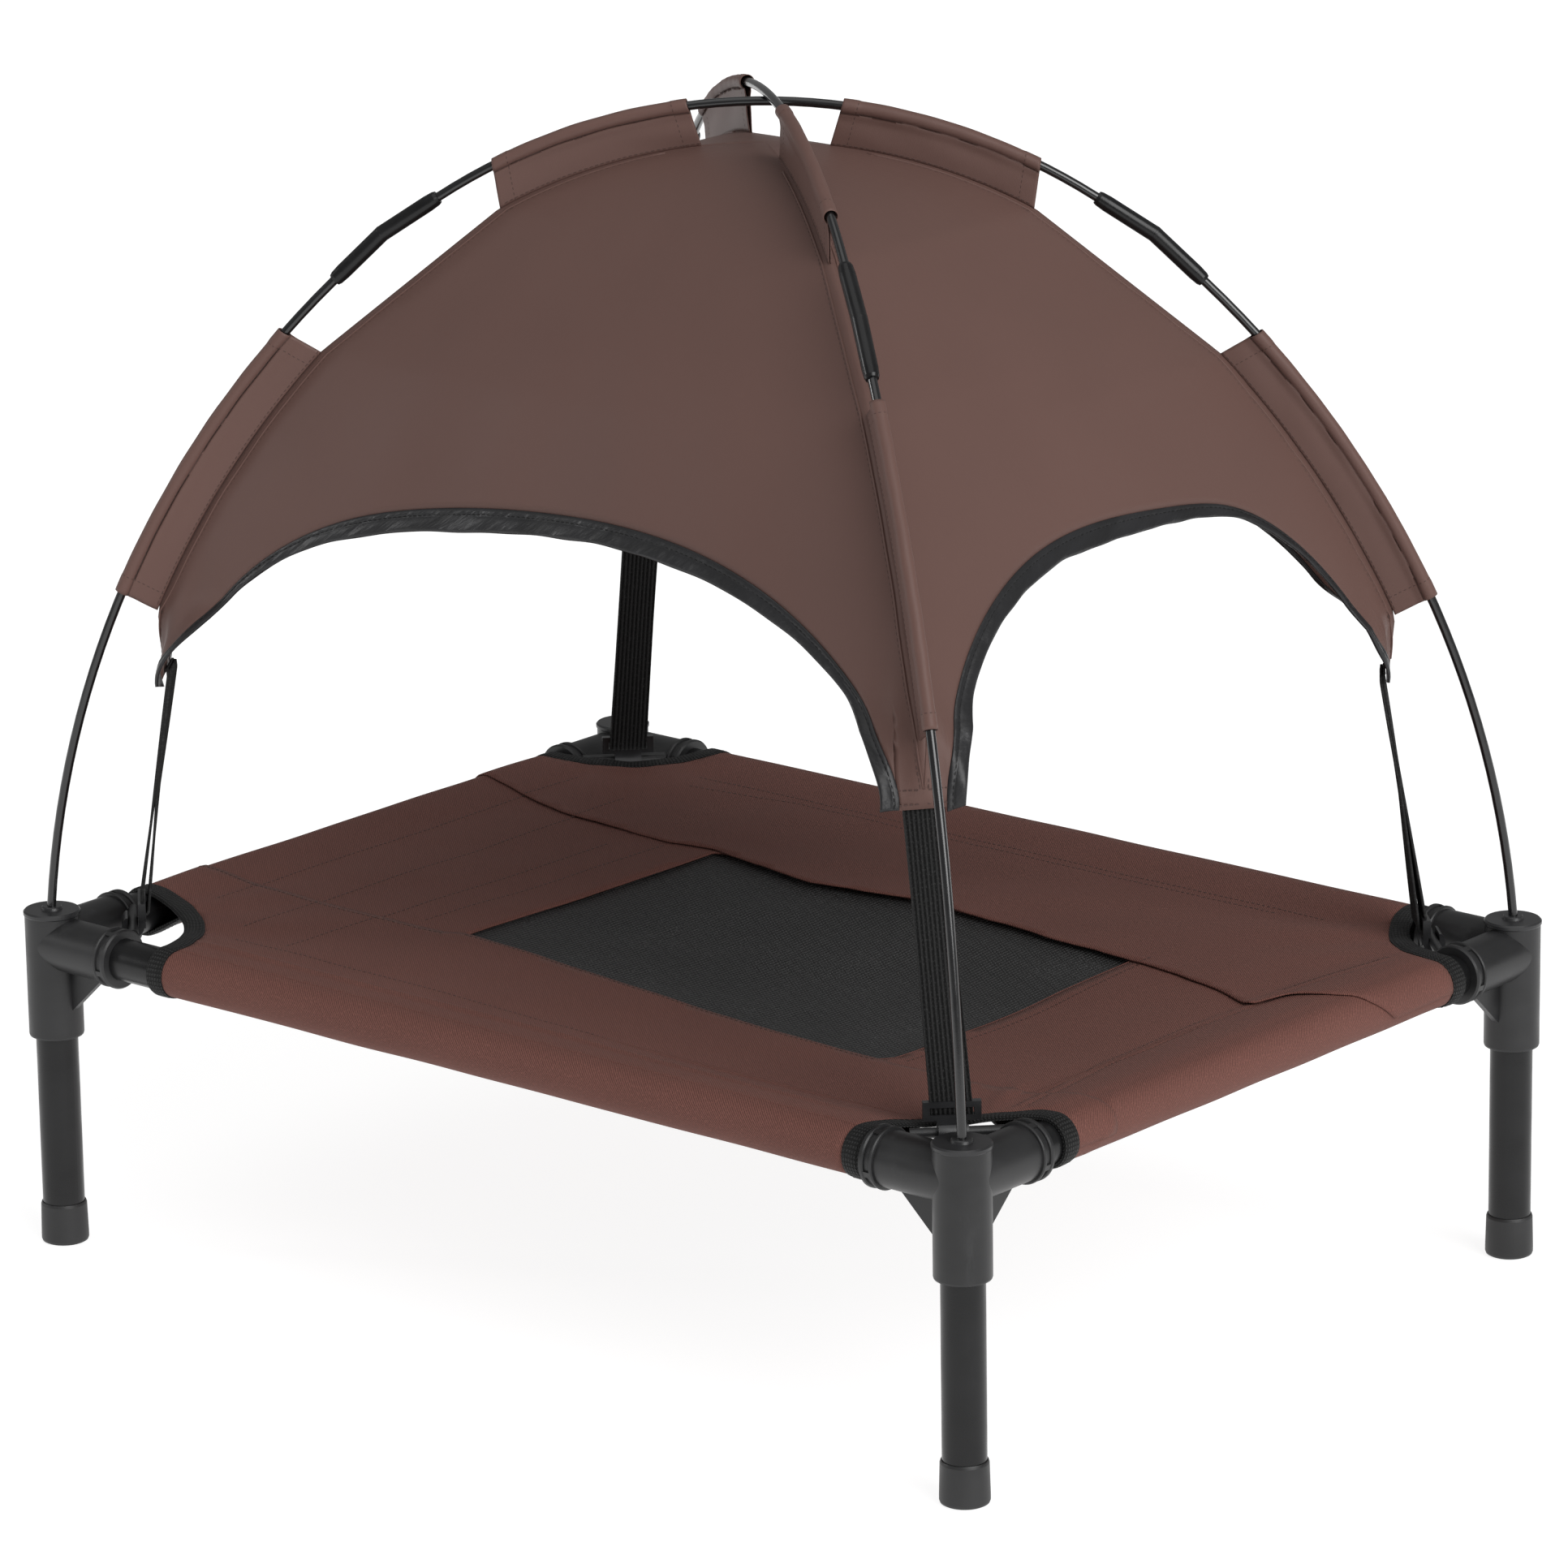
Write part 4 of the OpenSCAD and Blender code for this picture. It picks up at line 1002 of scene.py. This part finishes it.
def flat_cloth(name, loop, holes, material, lift, step=3.2, thickness=0.9):
    """Cuts a cloth to a flat outline and lays it where the pattern goes."""
    edges_at = [closed(loop, step)] + [closed(hole, step) for hole in holes]
    flap = max(np.abs(loop[:, 0]).max() - HALF_L, np.abs(loop[:, 1]).max() - HALF_W, 0)
    gs, gt = np.meshgrid(lines(HALF_L, flap), lines(HALF_W, flap))
    grid = np.stack([gs.ravel(), gt.ravel()], -1)
    keep = inside(grid, loop)
    for hole in holes:
        keep &= ~inside(grid, hole)
    grid = grid[keep]
    rim = np.concatenate(edges_at)
    near = np.ones(len(grid), bool)
    for start in range(0, len(rim), RIM_BATCH):
        apart = grid[:, None] - rim[None, start:start + RIM_BATCH]
        near &= (np.hypot(apart[..., 0], apart[..., 1]) > step * RIM_CLEARANCE).all(1)
    grid = grid[near]
    flat = np.concatenate([rim, grid])
    edges, count = [], 0
    for ring in edges_at:
        edges += [(count + k, count + (k + 1) % len(ring)) for k in range(len(ring))]
        count += len(ring)
    result = delaunay_2d_cdt([Vector(p) for p in flat], edges, [], 0, 1e-4)
    flat = np.array([tuple(v) for v in result[0]])
    faces = np.array(result[2])
    middle = flat[faces].mean(1)
    keep = inside(middle, loop)
    for hole in holes:
        keep &= ~inside(middle, hole)
    faces = faces[keep]
    first = flat[faces[:, 0]]
    b, c = flat[faces[:, 1]] - first, flat[faces[:, 2]] - first
    area = np.abs(b[:, 0] * c[:, 1] - b[:, 1] * c[:, 0]).sum() / 2
    points = cloth_place(flat[:, 0], flat[:, 1], lift(flat[:, 0], flat[:, 1]))
    made = mesh_object(name, points, [tuple(int(i) for i in f) for f in faces], material, uv=flat * MM)
    tidy_mesh(made, merge=0.00002)
    bm = bmesh.new()
    bm.from_mesh(made.data)
    top = max(bm.faces, key=lambda f: f.calc_center_median().z - 0.3 * f.calc_center_median().length)
    if top.normal.z < 0:
        bmesh.ops.reverse_faces(bm, faces=bm.faces)
    bm.to_mesh(made.data)
    bm.free()
    made.data.polygons.foreach_set("use_smooth", np.full(len(made.data.polygons), True))
    thicken(made, thickness)
    size = flat.max(0) - flat.min(0)
    return made, size * MM, area * MM * MM


# Corners of the mesh window, front left round to rear left
WINDOW = np.array([(-119.0, -98.0), (163.0, -114.0), (165.0, 83.0), (-113.0, 86.0)])
WINDOW_SOFT = closed(WINDOW, 12)
WINDOW_SOFT = WINDOW_SOFT + np.stack([0.5 * wave(WINDOW_SOFT[:, 1] / 30, seed=11),
                                      0.7 * wave(WINDOW_SOFT[:, 0] / 40, seed=12)], -1)
OUTLINE = pattern_outline(FLAP)
sling, sling_size, sling_area = flat_cloth("sling_cloth", OUTLINE, [WINDOW_SOFT], SLING, lambda s, t: 0 * s)
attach(sling, "frame")
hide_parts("sling")

# Rear strip: its front edge lies loose on the bed and passes over both short tubes
REAR_EDGE = np.array([(-313.0, 110.0), (-292, 106), (-250, 93), (-213, 83), (-168, 80), (-140, 79),
                      (-114, 84), (-80, 78), (-38, 72), (-10, 76), (16, 82), (60, 80), (118, 74),
                      (173, 71), (229, 58), (250, 48), (258, 45), (263, 52), (268, 64), (285, 72),
                      (300, 84), (312, 100)])
REAR_FINE = spaced(REAR_EDGE, 4)[0]
REAR_FINE = REAR_FINE + np.stack([0 * REAR_FINE[:, 0], 1.0 * wave(REAR_FINE[:, 0] / 14, seed=14)], -1)


def rear_lift(s, t):
    line = np.interp(s, REAR_FINE[:, 0], REAR_FINE[:, 1])
    back = np.maximum(0, t - line)
    lip = (0.6 + 0.7 * wave(s / 22, seed=15)) * np.exp(-back / 6)
    lip = lip * smooth((HALF_L - 6 - np.abs(s)) / 30 + 0.2)
    return 0.25 + 0.95 * smooth(1 - back / 75) + np.maximum(lip, 0)


inset_line = [cut_line(2, 0.3)[::-1], cut_line(3, 0.3)]
REAR_LOOP = np.concatenate([REAR_FINE, [(312.0, HALF_W - CUT_SHORT[2] - 0.3)], inset_line[0], inset_line[1],
                            [(-313.0, HALF_W - CUT_SHORT[3] - 0.3)]])
rear_strip, rear_size, rear_area = flat_cloth("sling_rear_strip", REAR_LOOP, [], SLING, rear_lift,
                                              thickness=0.8)

# Front strip: its rear edge is stitched flat along the window
FRONT_EDGE = np.array([(-312.0, -98.0), (-292, -103), (-213, -107), (-168, -107), (-127, -104), (-119, -99.5),
                       (163, -115.5), (172, -117), (240, -120), (292, -118), (312, -116)])
FRONT_FINE = spaced(FRONT_EDGE, 5)[0]


def front_lift(s, t):
    line = np.interp(s, FRONT_FINE[:, 0], FRONT_FINE[:, 1])
    return 0.2 + 0.75 * smooth(1 - np.maximum(0, line - t) / 60)


inset_line = [cut_line(0, 0.3)[::-1], cut_line(1, 0.3)]
FRONT_LOOP = np.concatenate([[(-312.0, CUT_SHORT[0] + 0.3 - HALF_W)], inset_line[0], inset_line[1],
                             [(312.0, CUT_SHORT[1] + 0.3 - HALF_W)], FRONT_FINE[::-1]])
front_strip, front_size, front_area = flat_cloth("sling_front_strip", FRONT_LOOP, [], SLING, front_lift,
                                                 thickness=0.8)
for strip in (rear_strip, front_strip):
    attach(strip, "frame")

# Mesh panel, under the window
MESH_LOOP = WINDOW + np.array([(-12, -12), (12, -12), (12, 12), (-12, 12)])


def mesh_lift(s, t):
    middle = np.exp(-((s - 22) / 105) ** 2 - ((t + 10) / 72) ** 2)
    return -1.5 - 2.2 * middle + 0.25 * wave(s / 30, t / 26, seed=16)


mesh_panel, mesh_size, mesh_area = flat_cloth("mesh_cloth", MESH_LOOP, [], MESH, mesh_lift, thickness=0.6)
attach(mesh_panel, "frame")
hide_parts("mesh_panel")


def cloth_normal(s, t):
    return unit(cloth_place(s, t, 1.0) - cloth_place(s, t, 0.0))


hem_ring = spaced(np.concatenate([WINDOW_SOFT, WINDOW_SOFT[:1]]), 3)[0]
hem_points, hem_faces = tube_mesh(cloth_place(hem_ring[:, 0], hem_ring[:, 1], 0.05), 0.6, 8)
window_hem = mesh_object("window_rolled_edge", hem_points, hem_faces, SLING, uv=hem_points[:, :2] * MM)
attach(window_hem, "frame")


# ---------------------------------------------------------------- bindings of the cut-outs
# Cross-section, (distance past the cloth's edge on to the cloth, height over the cloth's middle)
BINDING_OUT = [(1.4, 0.5), (1.1, 1.05), (-1.6, 1.4), (-4.8, 1.45), (-7.4, 1.35), (-8.9, 0.8)]
BINDING_IN = [(-9.1, 0.0), (-8.9, -0.8), (-7.4, -1.0), (-4.8, -1.0), (-1.6, -1.0), (1.1, -0.85), (1.4, -0.45)]


def binding(corner):
    sx, sy = SIGNS[corner]
    line = cut_line(corner, 0, 60)
    whole = np.concatenate([[line[0] + [0, sy * (FLAP - 4)]], line, [line[-1] + [sx * (FLAP - 4), 0]]])
    path, run = spaced(whole, 1.9)
    tangent = unit(np.gradient(path, axis=0))
    inward = np.stack([-tangent[:, 1], tangent[:, 0]], -1)
    centre = np.array([sx * (HALF_L - 200), sy * (HALF_W - 200)])
    if ((centre - path[len(path) // 2]) @ inward[len(path) // 2]) < 0:
        inward = -inward
    rows = []
    profile = BINDING_OUT + BINDING_IN
    for d, h in profile:
        lump = 0.16 * wave(run / 5, d / 6, seed=70 + corner, octaves=2) * np.sign(h)
        flat = path + inward * (d + 0.35 * wave(run / 18, seed=75 + corner) * (d > 0))[:, None]
        rows.append(cloth_place(flat[:, 0], flat[:, 1], h + lump))
    made = band_object(f"{CORNERS[corner]}_cut_out_binding", np.stack(rows, 1), run,
                       run_along(np.array(profile)), BINDING)
    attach(made, "frame")
    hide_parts(f"{CORNERS[corner]}_sling_binding")
    seam = path - inward * 0.9
    s, t = seam.T
    return made, run[-1], stitches(cloth_place(s, t, 1.3), cloth_normal(s, t), 3.0, width=0.3, rise=0.22)


bindings, binding_seams = [], []
for corner in range(4):
    made, length, seams = binding(corner)
    bindings.append((made, length))
    binding_seams += seams
binding_thread = joined_object("binding_stitches", binding_seams, THREAD_BLACK)
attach(binding_thread, "frame")


# ---------------------------------------------------------------- stitch lines of the sling
def thread_lift(s, t):
    """Height of a stitch line over the sling's cloth: higher where it lies on a border strip."""
    on_rear = t > np.interp(s, REAR_FINE[:, 0], REAR_FINE[:, 1])
    on_front = t < np.interp(s, FRONT_FINE[:, 0], FRONT_FINE[:, 1])
    return np.where(on_rear, rear_lift(s, t) + 0.4, np.where(on_front, front_lift(s, t) + 0.4, 0.45))


# Seams across the bed, along it, and the double seam at the right
SEWN = [
    [(-211.5, -160), (-210.5, -60), (-210, 30), (-209, 124)],
    [(-173, -170), (-169, -90), (-167, -19), (-165, 60)],
    [(-150, -95), (-145, -20), (-141, 76)],
    [(-197, 161), (-134, 171), (-62, 171), (60, 172), (180, 172)],
    [(float(right_seam(t)), t) for t in (-144, -110, -60, -20, 10, 42)],
    [(float(right_seam(t)) + 6.5, t) for t in (-140, -110, -60, -20, 10, 42)],
    [(float(right_seam(t)) + 2, t) for t in (72, 90, 120, 144)], [(172, 78), (174, -20), (171, -112)],
    [(-300, -105), (-213, -110), (-168, -110), (-124, -107)], [(-117, -102), (20, -109), (161, -118)],
    [(-200, -178), (0, -178), (200, -178)], [(-205, 178), (0, 178), (205, 178)], [(-255, -135), (-255, 140)],
]
sewn_parts = []
for seam in SEWN:
    line = spaced(np.array(seam, float), 2)[0]
    line = line + np.stack([0.5 * wave(line[:, 1] / 30, seed=31), 0.5 * wave(line[:, 0] / 30, seed=32)], -1)
    s, t = line.T
    sewn_parts += stitches(cloth_place(s, t, thread_lift(s, t)), cloth_normal(s, t), 3.3,
                           width=0.55, rise=0.3, sink=0.1)
sling_thread = joined_object("sling_stitches", sewn_parts, BROWN_THREAD_AND_SEAM_SHADE)
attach(sling_thread, "frame")


# ---------------------------------------------------------------- ridge seams and tip hems of the canopy
# The felled seam's distance from the ridge, reached over this height, and its stitches' distance from it
FELL_ASIDE = 4.8
FELL_RISE = 55
FELL_THREAD = 1.5
HEM_ROWS = (2.2, 8.6)
felled = []
for side in range(4):
    for end, corner in ((-1, LEFT_RIGHT[side][0]), (1, LEFT_RIGHT[side][1])):
        pole = corner % 2
        z = np.linspace(TIP_Z[pole] + 9, CROWN_START_Z - 5, 240)
        half = ridge(z, pole) * side_axes(side)[0]
        aside = FELL_ASIDE * smooth((z - TIP_Z[pole]) / FELL_RISE)
        u = end * (1 - aside / half)
        felled.append(tube_mesh(cloth_point(side, u, z, 0.25), 0.5, 6))
        u = end * (1 - (aside + FELL_THREAD) / half)
        brown_seams += stitches(cloth_point(side, u, z, 0.3), normal_at(side, u, z), 3.0,
                                width=0.26, rise=0.12)
        x, arch_z = arch(side, ARCH_BROWN, np.linspace(0, math.pi, 400))
        near = slice(0, 60) if end < 0 else slice(340, 400)
        for rise in HEM_ROWS:
            level = TIP_Z[pole] + rise
            order = np.argsort(arch_z[near])
            x_at = np.interp(level, arch_z[near][order], x[near][order])
            from_u = share_at(side, np.array([x_at]), np.array([level]))[0]
            u = np.linspace(from_u, end * 0.999, 40)
            level = np.full(40, level)
            brown_seams += stitches(cloth_point(side, u, level, 0.4), normal_at(side, u, level), 2.6,
                                    width=0.36, rise=0.22)
canopy_thread = joined_object("canopy_stitches", brown_seams, THREAD_CANOPY)
ridge_seams = joined_object("ridge_felled_seams", felled, CANOPY_PAINTED_LIGHTER)
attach(ridge_seams, "dome")
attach(canopy_thread, "dome")


# ---------------------------------------------------------------- elastic straps
STRAP_W, STRAP_T = 19.5, 1.1
RIBS = 9
RIB_RISE = 0.3
# The strap's end is below the top of its hook and inward of the hook's cross bar
SLOT_DROP = 4.6
SLOT_INWARD = 4.8


def strap(corner):
    """A ribbed elastic loop from the canopy's tip down to its hook's slot and back up.

    Its lower end cuts into the hook.
    """
    pole = corner % 2
    foot = SIGNS[corner] * (np.array([HALF_L, HALF_W]) - (BAR_REACH + SLOT_INWARD) * math.sqrt(0.5))
    sx, sy = SIGNS[corner]
    facing_top = np.array([sx * DIAG[0], sy * DIAG[1]])
    facing_foot = np.array([sx, sy]) * math.sqrt(0.5)
    slot_z = HOOK_TOP - SLOT_DROP
    bar_r, bar_in, tuck_in, touch = 2.0, 1.2, 2.3, 1.3
    rows, normals, wides, shares = [], [], [], []

    def add(z, inner):
        k = min((z - slot_z) / (TIP_Z[pole] - slot_z), 1)
        turn = smooth(k)
        out = facing_foot * (1 - turn) + facing_top * turn
        out /= np.linalg.norm(out)
        head = (float(ridge(max(z, TIP_Z[pole]), pole)) - tuck_in) * DIAG * SIGNS[corner]
        # the two layers stand apart at the slot and lie together from about half way up
        gap = touch + (2 * bar_r - touch) * max(0, 1 - k / 0.5) if inner else 0
        place = foot * (1 - k) + head * k + out * ((bar_r - bar_in) * (1 - k) - gap)
        rows.append(np.array([*place, z]))
        normals.append(np.array([*(-out if inner else out), 0.12 * (1 - 2 * inner)]))
        wides.append(np.array([-out[1], out[0], 0]))
        shares.append(k)

    for z in np.linspace(TIP_Z[pole] + 4, slot_z + 1.2, 90):
        add(z, 0)
    out = facing_foot
    for a in np.radians(np.linspace(0, 180, 9)[1:]):
        bar = np.array([*(foot - out * bar_in), slot_z])
        rows.append(bar + np.array([*(out * bar_r * math.cos(a)), -bar_r * math.sin(a)]))
        normals.append(np.array([*(out * math.cos(a)), -math.sin(a)]))
        wides.append(np.array([-out[1], out[0], 0]))
        shares.append(0)
    for z in np.linspace(slot_z + 1.2, TIP_Z[pole] + 3.4, 88):
        add(z, 1)
    rows, normals, wides, shares = np.array(rows), np.array(normals), np.array(wides), np.array(shares)
    normals = unit(normals)
    run = run_along(rows)
    across = np.linspace(-0.5, 0.5, RIBS * 4 + 1)
    rib = RIB_RISE * np.abs(np.sin(across * math.pi * RIBS)) ** 0.6
    narrow = 1 - 0.035 * np.sin(math.pi * shares)
    columns = []
    for sign, order in ((1, across), (-1, across[::-1])):
        for w in order:
            r = rib[np.argmin(np.abs(across - w))]
            half_thick = STRAP_T / 2 - 0.2 + r
            columns.append(rows + wides * (w * STRAP_W * narrow)[:, None] + normals * sign * half_thick)
    spread = np.concatenate([across, across[::-1]]) * STRAP_W
    made = band_object(f"{CORNERS[corner]}_strap", np.stack(columns, 1), run, spread, ELASTIC)
    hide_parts(f"{CORNERS[corner]}_elastic_strap")
    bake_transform(made)


for corner in range(4):
    strap(corner)


# ---------------------------------------------------------------- camera, light and floor
# The photo's view, solved for its camera: angles in degrees, the rest in metres
VIEW_AZIMUTH, VIEW_ELEVATION, VIEW_ROLL = 40.56, 16.26, -0.87
VIEW_DISTANCE = 3.8977
VIEW_ASIDE, VIEW_HEIGHT = 0.00416, 0.2405
FOCAL_SHARE = 9765 / 1932
SENSOR = 36


def camera():
    azimuth, elevation, roll = (math.radians(a) for a in (VIEW_AZIMUTH, VIEW_ELEVATION, VIEW_ROLL))
    back = np.array([math.sin(azimuth) * math.cos(elevation), -math.cos(azimuth) * math.cos(elevation),
                     math.sin(elevation)])
    level = np.cross(-back, [0, 0, 1.0])
    level /= np.linalg.norm(level)
    upright = np.cross(level, -back)
    target = level * VIEW_ASIDE + np.array([0, 0, VIEW_HEIGHT])
    right = math.cos(roll) * level + math.sin(roll) * upright
    up = -math.sin(roll) * level + math.cos(roll) * upright
    data = bpy.data.cameras.new("camera")
    data.sensor_width = SENSOR
    data.lens = FOCAL_SHARE * SENSOR
    data.clip_start, data.clip_end = 0.1, 50
    made = bpy.data.objects.new("camera", data)
    bpy.context.scene.collection.objects.link(made)
    place = target + back * VIEW_DISTANCE
    made.matrix_world = Matrix((
        (right[0], up[0], back[0], place[0]), (right[1], up[1], back[1], place[1]),
        (right[2], up[2], back[2], place[2]), (0, 0, 0, 1)))
    bpy.context.scene.camera = made


def sun(name, azimuth, elevation, strength, spread):
    """A soft light from far away: azimuth from the front, positive to the right."""
    data = bpy.data.lights.new(name, "SUN")
    data.energy = strength
    data.angle = math.radians(spread)
    made = bpy.data.objects.new(name, data)
    bpy.context.scene.collection.objects.link(made)
    a, e = math.radians(azimuth), math.radians(elevation)
    toward = Vector((math.sin(a) * math.cos(e), -math.cos(a) * math.cos(e), math.sin(e)))
    made.rotation_mode = "QUATERNION"
    made.rotation_quaternion = toward.to_track_quat("Z", "Y")


def studio():
    world = bpy.data.worlds.new("studio")
    bpy.context.scene.world = world
    world.use_nodes = True
    world.node_tree.nodes["Background"].inputs["Color"].default_value = (1, 1, 1, 1)
    world.node_tree.nodes["Background"].inputs["Strength"].default_value = 0.25
    floor = mesh_object("floor", [(x * 9000, y * 9000, -0.4) for x, y in SIGNS],
                        [(0, 1, 2, 3)], [], flat=True)
    paint = Paint("floor_paper", (0.3, 0.3, 0.3), 0.95, Emission_Strength=0.87, Specular_IOR_Level=0.0)
    paint.shader.inputs["Emission Color"].default_value = (1, 1, 1, 1)
    paint.colour(paint.ramp(paint.noise(3, 2), (0.3, (0.295, 0.295, 0.295)), (0.7, (0.305, 0.305, 0.305))))
    floor.data.materials.append(paint.material)
    sun("key_from_right", 78, 32, 2.3, 45)
    sun("strip_from_left", -62, 16, 0.3, 9)
    sun("top_light", 20, 78, 0.6, 60)
    bpy.context.scene.view_settings.view_transform = "Standard"


camera()
studio()
